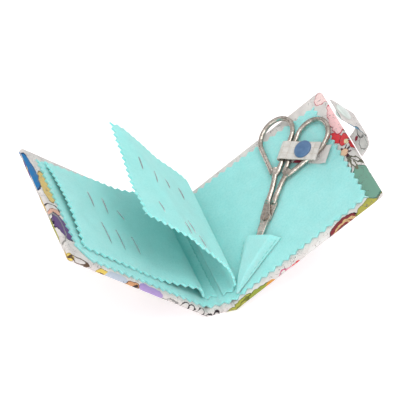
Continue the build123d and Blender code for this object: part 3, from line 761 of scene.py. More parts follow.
def shell_stations():
    """(s, bottom, top, half length) of the shell, from the spine's middle to the fore-edge."""
    half = CASE_LENGTH / 2
    found = [(s, -HINGE_HEIGHT, COVER_TOP, half) for s in (0.0, 1.5, 3.0, 4.5)]
    for k in range(6):
        turn = math.pi / 2 * k / 5
        found.append((DIP_START + DIP_START_ROUND * math.sin(turn), -HINGE_HEIGHT,
                      FOLD_TOP + (COVER_TOP - FOLD_TOP) * math.cos(turn), half))
    for s in (7.0, 7.7, 8.3, 8.9, 9.6, 10.4, 11.2):
        found.append((s, -HINGE_HEIGHT, FOLD_TOP, half))
    for k in range(6):
        turn = math.pi / 2 * k / 5
        found.append((DIP_END + DIP_END_ROUND * (1 - math.cos(turn)), -HINGE_HEIGHT,
                      FOLD_TOP + (COVER_TOP - FOLD_TOP) * math.sin(turn), half))
    end = SPINE_WIDTH / 2 + COVER_WIDTH
    run = DIP_END + 2 * DIP_END_ROUND
    while run < end - CORNER - 0.4:
        found.append((run, -HINGE_HEIGHT, COVER_TOP, half))
        run += 1.6
    for k in range(10):
        turn = math.pi / 2 * k / 9
        s = end - CORNER + CORNER * math.sin(turn)
        into = max(0.0, s - (end - EDGE)) / EDGE
        thick = EDGE * math.sqrt(max(0.0, 1 - into * into)) + 0.02
        found.append((s, MIDDLE - thick, MIDDLE + thick, half - CORNER * (1 - math.cos(turn))))
    return found


def shell_ring(side, s, bottom, top, half):
    """One closed ring round the shell, and its cut coordinates."""
    r = min((top - bottom) / 2, EDGE)
    middle, high = (top + bottom) / 2, (top - bottom) / 2
    run = half - r
    steps, arc = 56, 6
    places, cut = [], []
    for k in range(arc):
        turn = -math.pi / 2 + math.pi * k / arc
        places.append((run + r * math.cos(turn), middle + high * math.sin(turn)))
        cut.append(run + r * (math.pi / 2 - turn))
    for k in range(steps):
        y = run - 2 * run * k / steps
        places.append((y, top))
        cut.append(y)
    for k in range(arc):
        turn = math.pi / 2 - math.pi * k / arc
        places.append((-run - r * math.cos(turn), middle + high * math.sin(turn)))
        cut.append(-run - r * (math.pi / 2 - turn))
    for k in range(steps + 1):
        y = -run + 2 * run * k / steps
        cut.append(-run - math.pi * r - (y + run))
        if k < steps:
            places.append((y, bottom))
    points = []
    for y, n in places:
        soft = 0.10 * ripple(s * side, y + n * 3, 9.0, 3.1) + 0.05 * ripple(s * side, y, 2.6, 8.4)
        outward = 1.0 if n > middle else -1.0
        points.append(shell_point(side, s, y, n + soft * outward * smooth(high / EDGE)))
    return points, [(side * s, v) for v in cut]


def cover_half(side, name, nodes):
    """Half of the printed cloth, over one board and half of the spine."""
    rings, coords = [], []
    for s, bottom, top, half in shell_stations():
        ring, cut = shell_ring(side, s, bottom, top, half)
        rings.append(ring)
        coords.append(cut)
    points, faces, uvs = loft(rings, coords)
    obj = new_piece(name, points, faces, uvs, cotton, replaces=nodes, slot="printed_cotton")
    weld(obj)
    start = shell_point(side, SPINE_WIDTH / 2 - 1.2, 0, 0)
    end = shell_point(side, SPINE_WIDTH / 2 + 2.4, 0, 0)
    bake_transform(obj)


cover_half(-1, "cover_cloth_left", ("left_cover_cloth", "spine_cloth"))
cover_half(1, "cover_cloth_right", ("right_cover_cloth",))

# ---- felt lining

FLAT = 3.4  # the lining lies flat on the spine this far from its middle
RISE_END = 5.5  # and meets the cover this far from the fold line


def hermite(a, b, ta, tb, f):
    return (a * (2 * f ** 3 - 3 * f ** 2 + 1) + ta * (f ** 3 - 2 * f ** 2 + f)
            + b * (3 * f ** 2 - 2 * f ** 3) + tb * (f ** 3 - f ** 2))


def over_fold(side, flat, floor, landing, lift, f, rise=(1.0, 0.0)):
    """Across and up of felt that crosses a fold, from the spine to a cover; rise is the
    way it sets off."""
    slope = LEFT_SLOPE if side < 0 else RIGHT_SLOPE
    a = Vector((flat, floor))
    b = Vector((SPINE_WIDTH / 2 + landing * math.cos(slope) - lift * math.sin(slope),
                HINGE_HEIGHT + landing * math.sin(slope) + lift * math.cos(slope)))
    reach = (b - a).length
    return hermite(a, b, Vector(rise) * reach,
                   Vector((math.cos(slope), math.sin(slope))) * reach, f)


def fold_chord(*fold):
    """Straight distance across a fold."""
    return (over_fold(*fold, 1.0) - over_fold(*fold, 0.0)).length


def run_in(y, half, back, front, out):
    """A sheet's edges run in towards its fore-edge, by back and front millimetres there;
    half is how far its front edge is from the middle."""
    if y > 0:
        return y - back * (y / PAGE_BACK) * out ** 1.6
    return y + front * (-y / half) * out ** 2


SNIP_ACROSS, SNIP_ALONG, SNIP_START = 9.5, 9.0, -32.5


def cut_by_hand(side, s, y, reach):
    """The felt's outline isn't quite square: its back runs in a little towards the
    fore-edge, and the left one's front corner is snipped off."""
    out = max(0.0, s / reach)
    if side > 0:
        return s, run_in(y, PAGE_BACK, 5.6, 0.6, out)
    y = run_in(y, PAGE_BACK, 5.0, 0.0, out)
    over = (s - reach + SNIP_ACROSS) / SNIP_ACROSS + (SNIP_START - y) / SNIP_ALONG - 1.0
    if over > 0 and s > reach - 12 and y < -28:
        s -= 4.4 * over
        y += 4.4 * over
    return s, y


def lining_place(side):
    middle = LINING_TOP - FELT / 2
    floor = COVER_THICKNESS + FELT / 2
    span = fold_chord(side, FLAT, floor, RISE_END, middle) * 1.03
    reach = FLAT + span + LINING_END - RISE_END

    def place(s, y):
        wave = 0.16 * ripple(s * side, y, 13.0, 5.5)
        s, y = cut_by_hand(side, s, y, reach)
        if s <= FLAT:
            return Vector((side * s, y, floor + wave)) * MM
        if s < FLAT + span:
            x, z = over_fold(side, FLAT, floor, RISE_END, middle, (s - FLAT) / span)
            return Vector((side * x, y, z + wave)) * MM
        return panel(side, RISE_END + s - FLAT - span, y, middle + wave)

    return place, reach


def flip(grid, cut):
    """The same grid with its other face up."""
    return [line[::-1] for line in grid], [line[::-1] for line in cut]


def even_grid(place, rows, columns):
    """place(p, q) at even steps of p and q from 0 to 1."""
    return [[place(i / rows, j / columns) for j in range(columns + 1)] for i in range(rows + 1)]


for side, name, body, nodes in (
    (-1, "lining_left", "left_cover", ("left_lining", "spine_lining")),
    (1, "lining_right", "right_cover", ("right_lining",)),
):
    place, reach = lining_place(side)
    grid, cut = pinked_grid(0.0, reach, -LINING_LENGTH / 2, LINING_LENGTH / 2, place)
    cut = [[(side * s, y) for s, y in line] for line in cut]
    if side < 0:
        grid, cut = flip(grid, cut)
    obj = sheet_piece(name, grid, cut, FELT, felt, replaces=nodes, slot="felt")
    shell_point(side, 7.0, 0, 3.0)
    shell_point(side, 12.5, 0, 3.0)
    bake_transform(obj)

# ---- leaves

LEAF_LENGTH = PAGE_BACK - PAGE_FRONT
LEAF_CUT = 200.0  # each cloth's texture starts at a place of its own
CREASE = 6.6  # the leaves' sewn strip is flat this far from the middle of the spine
LEAF_LANDING = 9.0
LEAF_ROOT_LIFT = 4.4


def left_leaf_height(w, y):
    """Middle of the left leaf above the fold line's plane."""
    lift = LEAF_ROOT_LIFT * (1 - smooth((w - LEAF_LANDING + 4) / 34.0))
    tip = 2.6 * smooth((w - 60) / 28.0) * max(0.0, 1 - ((y - 2) / 34.0) ** 2)
    sag = 0.45 * ripple(w, y, 26.0, 1.7) + 0.12 * ripple(w, y, 7.0, 2.9)
    return LINING_TOP + FELT / 2 + 0.15 + lift + tip + abs(sag)


left_root_lift = LINING_TOP + FELT / 2 + LEAF_ROOT_LIFT
left_span = fold_chord(-1, CREASE, BINDING_MIDDLE, LEAF_LANDING, left_root_lift) * 1.02


def left_leaf_place(s, y):
    if s <= CREASE:
        return Vector((-s, y, BINDING_MIDDLE)) * MM
    if s < CREASE + left_span:
        x, z = over_fold(-1, CREASE, BINDING_MIDDLE, LEAF_LANDING,
                         left_leaf_height(LEAF_LANDING, y), (s - CREASE) / left_span,
                         rise=(0.55, 0.75))
        return Vector((-x, y, z)) * MM
    w = LEAF_LANDING + s - CREASE - left_span
    y = run_in(y, -PAGE_FRONT, 6.2, 2.4, w / PAGE_END)
    return panel(-1, w, y, left_leaf_height(w, y))


left_leaf_reach = CREASE + left_span + PAGE_END - LEAF_LANDING
grid, cut = pinked_grid(0.0, left_leaf_reach, PAGE_FRONT, PAGE_BACK, left_leaf_place)
cut = [[(-s, y + LEAF_CUT) for s, y in line] for line in cut]
grid, cut = flip(grid, cut)
step = left_leaf_reach / (len(grid) - 1)
split_row = round((CREASE + left_span + 1.0) / step)
leaf_root = sheet_piece("leaf_root_left", grid, cut, FELT, felt, part=(0, split_row),
                        slot="felt", replaces=("page_binding",))
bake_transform(leaf_root)
left_leaf = sheet_piece("leaf_left", grid, cut, FELT, felt, part=(split_row, len(grid) - 1),
                        slot="felt", replaces=("left_page",))
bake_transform(left_leaf)

# the standing leaf: its back and front edges from the sewn strip to the tip, and the line
# on which its front corner rolls under
STAND_BACK = [(3.6, 41.0, 5.0), (8.8, 41.0, 7.2), (11.1, 41.5, 12.1), (9.3, 42.0, 19.1),
              (1.4, 42.5, 29.1), (-7.0, 43.0, 39.0), (-14.4, 43.4, 49.6),
              (-22.4, 43.9, 59.9), (-31.4, 44.5, 71.0)]
STAND_FRONT = [(3.6, -36.0, 5.0), (9.6, -36.0, 7.2), (9.9, -35.2, 13.4), (6.6, -34.4, 21.8),
               (-1.6, -33.5, 32.6), (-9.8, -32.7, 43.4), (-16.2, -31.9, 55.0),
               (-24.2, -31.1, 66.1), (-33.1, -30.2, 76.0)]
ROLL_RADIUS = 21.7
ROLL_TURN = 0.386
ROLL_FRONT, ROLL_FORE = 48.2, 67.6
back_line, back_length = even(STAND_BACK, 96)
front_line, front_length = even(STAND_FRONT, 96)
stand_length = (back_length + front_length) / 2


def stand_flat(s, y):
    """A point of the standing leaf before its corner rolls under."""
    share = s / stand_length
    back, front = Vector(curve_at(back_line, share)), Vector(curve_at(front_line, share))
    across = (y - PAGE_FRONT) / LEAF_LENGTH
    return front.lerp(back, across)


def stand_place(s, y):
    """A point of the standing leaf: s up from its root, y along the spine. Beyond a line
    from its front edge towards the back of its fore-edge the felt rolls over."""
    start, end = Vector((ROLL_FRONT, PAGE_FRONT)), Vector((stand_length, ROLL_FORE))
    line = (end - start).normalized()
    out = Vector((line.y, -line.x))
    here = Vector((s, y))
    beyond = (here - start).dot(out)
    if beyond <= 0:
        p = stand_flat(s, y)
    else:
        foot = here - out * beyond
        p = stand_flat(foot.x, foot.y)
        a = stand_flat(foot.x + out.x, foot.y + out.y) - p
        b = stand_flat(foot.x + line.x, foot.y + line.y) - p
        a.normalize()
        under = a.cross(b).normalized()
        if under.x > 0:
            under = -under
        turn = min(beyond / ROLL_RADIUS, ROLL_TURN)
        rest = beyond - turn * ROLL_RADIUS
        p = p + a * (ROLL_RADIUS * math.sin(turn) + rest * math.cos(turn))
        p = p + under * (ROLL_RADIUS * (1 - math.cos(turn)) + rest * math.sin(turn))
    share = s / stand_length
    wave = 0.7 * ripple(s, y, 30.0, 4.4) * smooth(share * 2)
    return (p + Vector((wave, 0, wave * 0.6))) * MM


STAND_SPLIT = 37.0  # the standing leaf is cut in two here, where it folds upright when a cover closes on it; both pieces ride the right leaf
stand_at = stand_place(STAND_SPLIT, 0).x
grid, cut = pinked_grid(0.0, stand_length, PAGE_FRONT, PAGE_BACK, stand_place)
cut = [[(s, y + LEAF_CUT) for s, y in line] for line in cut]
step = stand_length / (len(grid) - 1)
split_row = round(STAND_SPLIT / step)
for name, part, hinge, nodes in (
    ("leaf_standing_root", (0, split_row), "right_cover_hinge", ()),
    ("leaf_standing", (split_row, len(grid) - 1), "left_cover_hinge", ("right_page",)),
):
    piece = sheet_piece(name, grid, cut, FELT, felt, part=part, slot="felt", body="right_leaf",
                        replaces=nodes)
    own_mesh(piece)

# ---- needles


NEEDLE_RADIUS = 0.36
NEEDLE_LIFT = 0.75  # its middle rides this far above the felt's middle


def needle(start, end, up):
    """A sewing needle from its eye to its point, which dip into the felt. It is slimmer
    at the eye and tapers to the point."""
    along = (end - start).normalized()
    length = (end - start).length
    path, radii = [], []
    for k in range(15):
        f = k / 14
        dip = -0.55 * (1 - math.sin(math.pi * f) ** 0.35)
        path.append(start + along * (length * f) + up * (dip * MM))
        radii.append(NEEDLE_RADIUS * (1.0 if f < 0.72 else max(0.08, (1 - f) / 0.28)) *
                     (0.8 if f < 0.05 else 1.0))
    shaft = tube(path, radii, up, segments=8)
    side = up.cross(along).normalized()
    eye = []
    for k in range(16):
        turn = 2 * math.pi * k / 16
        eye.append(start - along * (0.2 * MM) + along * (1.1 * math.cos(turn) * MM)
                   + side * (0.38 * math.sin(turn) * MM) + up * (-0.2 * MM))
    return joined([shaft, tube(eye, [0.17] * 16, up, segments=6, closed=True)])


# eye and point of each needle, out from the fold and along the spine
LEFT_NEEDLES = [((62.4, 21.0), (63.0, 8.5)), ((52.3, 20.6), (53.4, 7.4)),
                ((43.4, 14.6), (41.0, 8.4)), ((63.5, -4.4), (62.7, -21.0)),
                ((53.6, -6.0), (53.3, -22.1)), ((42.2, -6.2), (41.6, -19.9))]
left_up = (panel(-1, 50, 0, 6) - panel(-1, 50, 0, 5)).normalized()
parts = []
for (w0, y0), (w1, y1) in LEFT_NEEDLES:
    a = panel(-1, w0, y0, left_leaf_height(w0, y0) + NEEDLE_LIFT)
    b = panel(-1, w1, y1, left_leaf_height(w1, y1) + NEEDLE_LIFT)
    parts.append(needle(a, b, left_up))
weld(new_piece("needles_left", *joined(parts), needle_steel, body="left_leaf",
               replaces=("left_needles",), slot="needle_steel"), FINE_WELD)

# up the leaf, and where along the spine each needle's eye and point are
RIGHT_NEEDLES = [((75.1, 15.3), (75.1, 5.7)), ((65.5, 9.5), (67.3, -0.9)),
                 ((51.0, 15.3), (53.0, 5.5)), ((37.0, 18.5), (38.0, 8.0)),
                 ((72.2, -20.0), (70.7, -27.0)), ((54.5, -25.0), (52.5, -33.0)),
                 ((47.6, -18.0), (44.8, -26.0)), ((41.8, -26.0), (40.4, -34.0))]


def standing_needle(eye, point):
    s, y = (eye[0] + point[0]) / 2, (eye[1] + point[1]) / 2
    along = stand_place(s + 1, y) - stand_place(s - 1, y)
    across = stand_place(s, y + 1) - stand_place(s, y - 1)
    up = -along.cross(across).normalized()
    if up.x < 0:
        up = -up
    lift = up * (NEEDLE_LIFT * MM)
    return needle(stand_place(*eye) + lift, stand_place(*point) + lift, up)


standing_needles = weld(new_piece(
    "needles_standing", *joined([standing_needle(*place) for place in RIGHT_NEEDLES]),
    needle_steel, body="right_leaf", replaces=("right_needles",), slot="needle_steel"), FINE_WELD)
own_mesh(standing_needles)

# ---- stitches


def stitch(start, end, up):
    """One stitch of thread that rises from the cloth and dips back into it."""
    path = []
    for k in range(7):
        f = k / 6
        path.append(start.lerp(end, f) + up * ((0.28 * math.sin(math.pi * f) - 0.12) * MM))
    return tube(path, [0.16, 0.24, 0.26, 0.26, 0.26, 0.24, 0.16], up, segments=8)


STITCH_PITCH = 3.2
STITCHES = 21
parts = []
first = (PAGE_FRONT + PAGE_BACK) / 2 - (STITCHES // 2) * STITCH_PITCH
for k in range(STITCHES):
    y = first + STITCH_PITCH * k
    a = Vector((0, y - 1.1, BINDING_MIDDLE + FELT / 2)) * MM
    b = Vector((0.1 * (-1) ** k, y + 1.1, BINDING_MIDDLE + FELT / 2)) * MM
    parts.append(stitch(a, b, Vector((0, 0, 1))))
new_piece("binding_thread", *joined(parts), thread, body="spine",
          replaces=("binding_stitches",), slot="thread")

# ---- scissors pocket

APEX, POCKET_LEFT = Vector((5.4, -39.6)), Vector((22.6, -10.8))
POCKET_MOUTH, POCKET_RIGHT = Vector((31.8, -18.6)), Vector((41.0, -26.6))
POCKET_FELT = 0.9


def pocket_place(p, q, lift=0.0):
    """p runs along the mouth from left to right, q from the apex to the mouth."""
    if p < 0.5:
        mouth = POCKET_LEFT.lerp(POCKET_MOUTH, p * 2)
    else:
        mouth = POCKET_MOUTH.lerp(POCKET_RIGHT, p * 2 - 1)
    place = APEX.lerp(mouth, q)
    room = min(3.1, 0.5 + (place - APEX).length * 0.24)
    body = smooth(p / 0.24) * smooth((1 - p) / 0.24)
    pleat = -0.35 * math.exp(-((p - 0.2) / 0.025) ** 2) - 0.25 * math.exp(-((p - 0.12) / 0.02) ** 2)
    height = POCKET_FELT / 2 + room * body + (0.45 + pleat) * smooth(q * 2) + 0.05
    height = max(height, POCKET_FELT / 2)
    return panel(1, place.x, place.y, LINING_TOP + height + lift)


POCKET_CUT = 300.0
grid = even_grid(lambda p, q: pocket_place(p, 0.015 + 0.985 * q), 60, 44)
cut = even_grid(lambda p, q: (40 * p * q, 34 * q + POCKET_CUT), 60, 44)
pocket = sheet_piece("pocket", *flip(grid, cut), POCKET_FELT, pocket_felt, body="right_cover",
                     replaces=("scissors_pocket",), slot="felt")

up = (panel(1, 50, 0, 6) - panel(1, 50, 0, 5)).normalized()
parts = []
for p in (0.045, 0.955):
    for k in range(9):
        q = 0.14 + 0.092 * k
        parts.append(stitch(pocket_place(p, q, POCKET_FELT / 2 + 0.05),
                            pocket_place(p, q + 0.066, POCKET_FELT / 2 + 0.05), up))
new_piece("pocket_thread", *joined(parts), thread, body="right_cover",
          replaces=("pocket_stitches",), slot="thread")

# ---- scissors


def hull(points):
    """The convex outline of flat points, in order."""
    points = sorted(set(points))

    def chain(run):
        found = []
        for p in run:
            while len(found) > 1 and ((found[-1][0] - found[-2][0]) * (p[1] - found[-2][1])
                                      - (found[-1][1] - found[-2][1]) * (p[0] - found[-2][0])) <= 0:
                found.pop()
            found.append(p)
        return found[:-1]

    return chain(points) + chain(points[::-1])


def plate(outline, low, high):
    """A flat plate of an outline in the scissors' own plane."""
    count = len(outline)
    inset = 0.12
    middle = (sum(p[0] for p in outline) / count, sum(p[1] for p in outline) / count)
    rings, coords = [], []
    for h, shrink in ((low, inset), (low + inset, 0), (high - inset, 0), (high, inset)):
        ring = []
        for u, v in outline:
            out = Vector((u - middle[0], v - middle[1]))
            out = out * (1 - shrink / max(out.length, 0.5))
            ring.append(scissors_point(middle[0] + out.x, middle[1] + out.y, h))
        rings.append(ring)
        coords.append([(u, v) for u, v in outline] + [outline[0]])
    return loft(rings, coords)


def bar(points, widths, height):
    """A rounded bar through (u, v) points, with its half-widths."""
    path, radii = [], []
    for k in range(41):
        u, v = curve_at(points, k / 40)
        path.append(scissors_point(u, v, height))
        radii.append(curve_at([(x,) for x in widths], k / 40)[0])
    return path, radii


PLATE = 1.0  # thickness of a blade
SHANK = 2.8
PLATE_GAP = 0.05


def ring_path(side):
    """(u, v) points round one ring: an oval that narrows to a neck at the shank."""
    wire = RING_WIRE / 2
    outline = []
    for k in range(96):
        turn = 2 * math.pi * k / 96
        outline.append((RING_U + (RING_LONG - wire) * math.cos(turn),
                        side * RING_V + (RING_SHORT - wire) * math.sin(turn)))
        outline.append((RING_NECK_U + (RING_NECK_RADIUS - wire) * math.cos(turn),
                        side * RING_NECK_V + (RING_NECK_RADIUS - wire) * math.sin(turn)))
    line = hull(outline)
    fine = []
    for a, b in zip(line, line[1:] + line[:1]):
        gap = math.hypot(b[0] - a[0], b[1] - a[1])
        for k in range(max(1, round(gap / 0.9))):
            f = k / max(1, round(gap / 0.9))
            fine.append((a[0] + (b[0] - a[0]) * f, a[1] + (b[1] - a[1]) * f))
    return fine


def scissors_half(name, side, low, body, node):
    """One half: its ring is on side, and its blade on the other side of the axis."""
    height = SCISSORS_LIFT + SHANK / 2
    ring = ring_path(side)
    # the wire thickens towards the shank
    radii = [RING_WIRE / 2 * (1.0 + 0.10 * smooth((34 - u) / 8)) for u, _ in ring]
    parts = [tube([scissors_point(u, v, height) for u, v in ring], radii, up, segments=18,
                  flatten=0.95, closed=True)]
    shank = [(29.0, side * 5.0), (25.0, side * 3.5), (20.0, side * 2.6), (14.0, side * 2.15),
             (9.4, side * 2.05)]
    path, radii = bar(shank, [2.6, 1.75, 1.6, 1.6, 1.75], height)
    parts.append(tube(path, radii, up, segments=18, flatten=0.82))
    # the collar: two beads and a square shoulder
    for u, r in ((9.6, 1.95), (8.5, 1.6)):
        path = [scissors_point(u + step, side * 2.05, height) for step in (-0.45, 0, 0.45)]
        parts.append(tube(path, [r * 0.72, r, r * 0.72], up, segments=18, flatten=0.78))
    shoulder = [(9.2, side * 0.4), (9.2, side * 3.9), (0.5, side * 3.3), (-2.6, side * 1.8),
                (-1.0, -side * 2.2), (1.2, -side * 2.6)]
    parts.append(plate(shoulder[::side], low, low + PLATE))
    boss = [(3.4 * math.cos(2 * math.pi * k / 40), 3.3 * math.sin(2 * math.pi * k / 40))
            for k in range(40)]
    parts.append(plate(boss, low, low + PLATE))
    blade = [(0.0, side * 2.6), (-14.0, side * 1.6), (-28.8, side * 0.5), (-32.0, -side * 0.2),
             (-17.6, -side * 2.25), (0.0, -side * 2.7)]
    parts.append(plate(blade[::side], low, low + PLATE))
    obj = weld(new_piece(name, *joined(parts), nickel, slot="nickel"), FINE_WELD)
    fused = obj.modifiers.new("fused", "REMESH")
    fused.mode = "VOXEL"
    fused.voxel_size = 0.22 * MM
    soft = obj.modifiers.new("soft", "SMOOTH")
    soft.factor = 0.5
    soft.iterations = 5
    settle(obj)
    obj.data.materials.clear()
    obj.data.materials.append(nickel)
    obj.data.shade_smooth()
    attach(obj, body)
    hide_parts(node)
    return obj


scissors_half("scissors_lower", -1, SCISSORS_LIFT, "scissors", "scissors_lower_half")
scissors_half("scissors_upper", 1, SCISSORS_LIFT + PLATE + PLATE_GAP, "scissors_half",
              "scissors_upper_half")

# ---- strap over the rings


BASE_CUT = 216.0
BASE_START = STRAP_FOLD_V + 0.6
base_length = BASE_START - STRAP_END_V + 5.6


def strap_base_place(p, q):
    u = STRAP_U + STRAP_WIDTH * (p - 0.5)
    v = BASE_START - base_length * q
    lift = 1.2 * smooth((q - 0.8) / 0.2)
    return scissors_point(u, v, 0.32 + lift + 0.08 * ripple(u, v, 5.0, 2.2))


FLAP = [(STRAP_FOLD_V - 0.2, 1.1), (STRAP_FOLD_V + 0.1, 2.4), (STRAP_FOLD_V - 0.3, 3.9),
        (STRAP_FOLD_V - 2.6, 4.5), (-2.0, 4.35), (-6.0, 4.15), (-10.8, 4.2), (-16.0, 4.3),
        (STRAP_END_V - 0.6, 4.2)]
flap_line, flap_length = even(FLAP, 60)


def strap_flap_place(p, q):
    v, h = curve_at(flap_line, q)
    u = STRAP_U + STRAP_WIDTH * (p - 0.5) + 0.25 * ripple(q * 20, p * 4, 6.0, 1.1)
    pucker = 0.18 * ripple(u, v, 4.5, 7.7) * smooth(abs(v - SNAP_V) / 6)
    return scissors_point(u, v, h + pucker)


def strap_piece(name, place, length, origin, material, thickness, body, node):
    grid = even_grid(place, 24, 60)
    cut = even_grid(lambda p, q: (origin + length * q, STRAP_WIDTH * p), 24, 60)
    return sheet_piece(name, *flip(grid, cut), thickness, material, body=body,
                       replaces=(node,), slot="plain_cotton")


strap_base = strap_piece("strap_base_cloth", strap_base_place, base_length, BASE_CUT, cotton, 0.6,
                         "right_cover", "strap_base")
flap = strap_piece("strap_flap_cloth", strap_flap_place, flap_length, 0.0, strap_cotton, 0.8,
                   "ring_strap", "strap_flap")

# ---- snaps

CAP = [(0.02, -1.0), (0.9, -1.0), (0.9, 0.0), (5.05, 0.0), (5.2, 0.15), (5.2, 0.5), (5.0, 0.85),
       (4.3, 1.22), (3.2, 1.45), (1.6, 1.58), (0.02, 1.6)]
SOCKET = [(0.02, -0.5), (2.2, -0.5), (2.25, -1.8), (2.4, -1.95), (2.8, -1.9), (3.0, -1.3),
          (3.5, -1.15), (3.6, -0.95), (3.6, -0.15), (3.45, 0.0), (0.02, 0.0)]
STUD = [(0.02, 0.0), (3.45, 0.0), (3.6, 0.15), (3.6, 0.9), (3.4, 1.1), (2.4, 1.2), (1.75, 1.4),
        (1.75, 1.6), (2.0, 1.9), (1.8, 2.15), (0.02, 2.2)]


def snap_part(name, profile, place, axis, body, node):
    skin, slot = (plastic, "snap_plastic") if "rings" in name else (pale_plastic, "pale_plastic")
    return weld(new_piece(name, *lathe(profile, place, axis), skin, body=body,
                          replaces=(node,), slot=slot))


snap_part("snap_cap_rings", CAP, scissors_point(SNAP_U, SNAP_V, 4.6), up, "ring_strap",
          "strap_snap_cap")
snap_part("snap_socket_rings", SOCKET, scissors_point(SNAP_U, SNAP_V, 3.8), up, "ring_strap",
          "strap_snap_socket")
snap_part("snap_stud_rings", STUD, scissors_point(SNAP_U, SNAP_V, 0.6), up, "right_cover",
          "strap_snap_stud")
snap_part("snap_stud_closure", STUD, panel(-1, 90.0, CLOSURE_Y, -HINGE_HEIGHT), -left_up,
          "left_cover", "closure_stud")

# ---- closure strap

CLOSURE = [(0.0, 0.0), (3.6, 1.6), (7.2, 4.6), (9.6, 11.5), (9.1, 16.6), (8.3, 20.4), (7.4, 26.0),
           (6.4, 31.6)]
CLOSURE_CUT = 140.0
closure_line, closure_length = even(CLOSURE, 64)


def closure_point(out, y, rise):
    return panel(1, COVER_WIDTH + 0.8 + out, y, 1.2 + rise)


def closure_ring(k):
    """A rounded section across the strap, folded and pressed at its edges."""
    here = closure_line[k]
    a, b = closure_line[max(k - 1, 0)], closure_line[min(k + 1, 64)]
    along = (b - a).normalized()
    face = Vector((-along[1], along[0]))
    share = k / 64
    half = CLOSURE_WIDTH / 2 * (1.0 - 0.05 * smooth((share - 0.93) / 0.07))
    thick = CLOSURE_CLOTH / 2 * (0.55 + 0.45 * smooth((1 - share) / 0.03))
    across = 30
    steps = [(1 - 2 * j / across, 1.0) for j in range(across)]
    steps += [(-1 + 2 * j / across, -1.0) for j in range(across)]
    ring, cut = [], []
    for place, face_side in steps:
        y = half * place
        edge = math.sqrt(max(0.0, 1 - max(0.0, (abs(place) - 0.94) / 0.06) ** 2))
        t = thick * face_side * max(edge, 0.25)
        t += 0.12 * ripple(share * 34, y, 4.0, 6.1) + 0.3 * ripple(share * 34, y, 11.0, 9.3)
        p = here + face * t
        ring.append(closure_point(p[0], CLOSURE_Y + y, p[1]))
        cut.append((CLOSURE_CUT + closure_length * share,
                    CLOSURE_Y + (y if face_side > 0 else -y - 18)))
    cut.append(cut[0])
    return ring, cut


rings, coords = zip(*[closure_ring(k) for k in range(65)])
closure = weld(new_piece("closure_cloth", *loft(list(rings), list(coords)), cotton,
                         replaces=("closure_strap",), slot="printed_cotton"))
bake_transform(closure)

tip, before = Vector(CLOSURE[-1]), Vector(CLOSURE[-3])
along = (tip - before).normalized()
snap_at = tip - along * 5.6
face = Vector((along[1], -along[0]))
snap_out = snap_at + face
snap_axis = (closure_point(snap_out[0], 0, snap_out[1])
             - closure_point(snap_at[0], 0, snap_at[1])).normalized()
snap_part("snap_cap_closure", CAP,
          closure_point(snap_at[0] + face[0] * 0.5, CLOSURE_Y, snap_at[1] + face[1] * 0.5),
          snap_axis, "closure", "closure_snap_cap")
snap_part("snap_socket_closure", SOCKET,
          closure_point(snap_at[0] - face[0] * 0.5, CLOSURE_Y, snap_at[1] - face[1] * 0.5),
          snap_axis, "closure", "closure_snap_socket")

# ---- floor, light and camera

SKY_STRENGTH = 0.96


FLOOR_HALF = 4.0
FLOOR_GLOW = 0.42  # lifts the paper to an even white


def floor():
    mesh = bpy.data.meshes.new("floor")
    half = FLOOR_HALF
    mesh.from_pydata([(-half, -half, 0), (half, -half, 0), (half, half, 0), (-half, half, 0)], [],
                     [(0, 1, 2, 3)])
    obj = bpy.data.objects.new("floor", mesh)
    link(obj)
    paint = Paint("floor_paper", roughness=0.9)
    where = paint.solid()
    grain = paint.noise(where, 40, 2)
    paint.set("Base Color", paint.ramp(grain, [(0.3, (0.84, 0.80, 0.81, 1)),
                                               (0.7, (0.86, 0.82, 0.83, 1))]))
    paint.surface.inputs["Emission Color"].default_value = (1.0, 1.0, 1.0, 1.0)
    paint.surface.inputs["Emission Strength"].default_value = FLOOR_GLOW
    mesh.materials.append(paint.material)


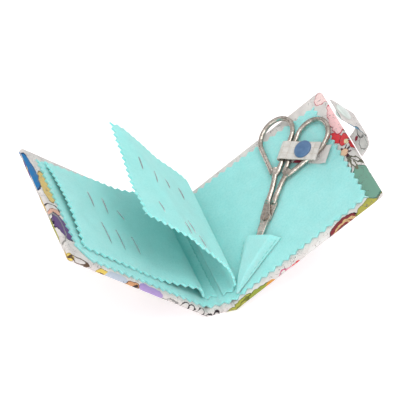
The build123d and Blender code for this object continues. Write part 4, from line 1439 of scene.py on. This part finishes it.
def area_light(name, place, aim, size, power):
    data = bpy.data.lights.new(name, "AREA")
    data.size = size
    data.energy = power
    obj = bpy.data.objects.new(name, data)
    obj.location = place
    obj.rotation_euler = (Vector(aim) - Vector(place)).to_track_quat("-Z", "Y").to_euler()
    link(obj)


def world():
    """An even white studio, darker towards the horizon so that metal has contrast."""
    sky = bpy.data.worlds.new("studio")
    bpy.context.scene.world = sky
    sky.use_nodes = True
    nodes, links = sky.node_tree.nodes, sky.node_tree.links
    where = nodes.new("ShaderNodeTexCoord")
    split = nodes.new("ShaderNodeSeparateXYZ")
    band = nodes.new("ShaderNodeValToRGB")
    links.new(where.outputs["Generated"], split.inputs[0])
    links.new(split.outputs[2], band.inputs[0])
    band.color_ramp.elements.new(0.5)
    for element, (place, grey) in zip(band.color_ramp.elements,
                                      ((0.12, 0.22), (0.42, 0.80), (0.75, 1.0))):
        element.position = place
        element.color = (grey, grey, grey, 1)
    links.new(band.outputs[0], nodes["Background"].inputs[0])
    nodes["Background"].inputs[1].default_value = SKY_STRENGTH


def camera():
    """The photograph's view, from its left and above."""
    azimuth, elevation, roll = (math.radians(angle) for angle in (-20.7, 42.5, 1.45))
    distance = 1.220
    target = Vector((-6.2, -27.9, 65.7)) * MM
    back = Vector((math.sin(azimuth) * math.cos(elevation),
                   -math.cos(azimuth) * math.cos(elevation), math.sin(elevation)))
    right = Vector((math.cos(azimuth), math.sin(azimuth), 0))
    above = back.cross(right)
    turned_right = right * math.cos(roll) + above * math.sin(roll)
    turned_up = above * math.cos(roll) - right * math.sin(roll)
    data = bpy.data.cameras.new("camera")
    data.sensor_width = 36.0
    data.lens = 209.8
    data.clip_start = 0.05
    data.clip_end = 20.0
    obj = bpy.data.objects.new("camera", data)
    turn = Matrix((turned_right, turned_up, back)).transposed()
    obj.matrix_world = Matrix.Translation(target + back * distance) @ turn.to_4x4()
    link(obj)
    bpy.context.scene.camera = obj


floor()
world()
area_light("key", (0.15, -0.25, 1.5), (0, 0, 0.03), 0.9, 7.0)
area_light("fill", (-0.8, -1.2, 0.55), (-0.02, 0, 0.03), 1.0, 7.0)
camera()
bpy.context.scene.view_settings.view_transform = "Standard"
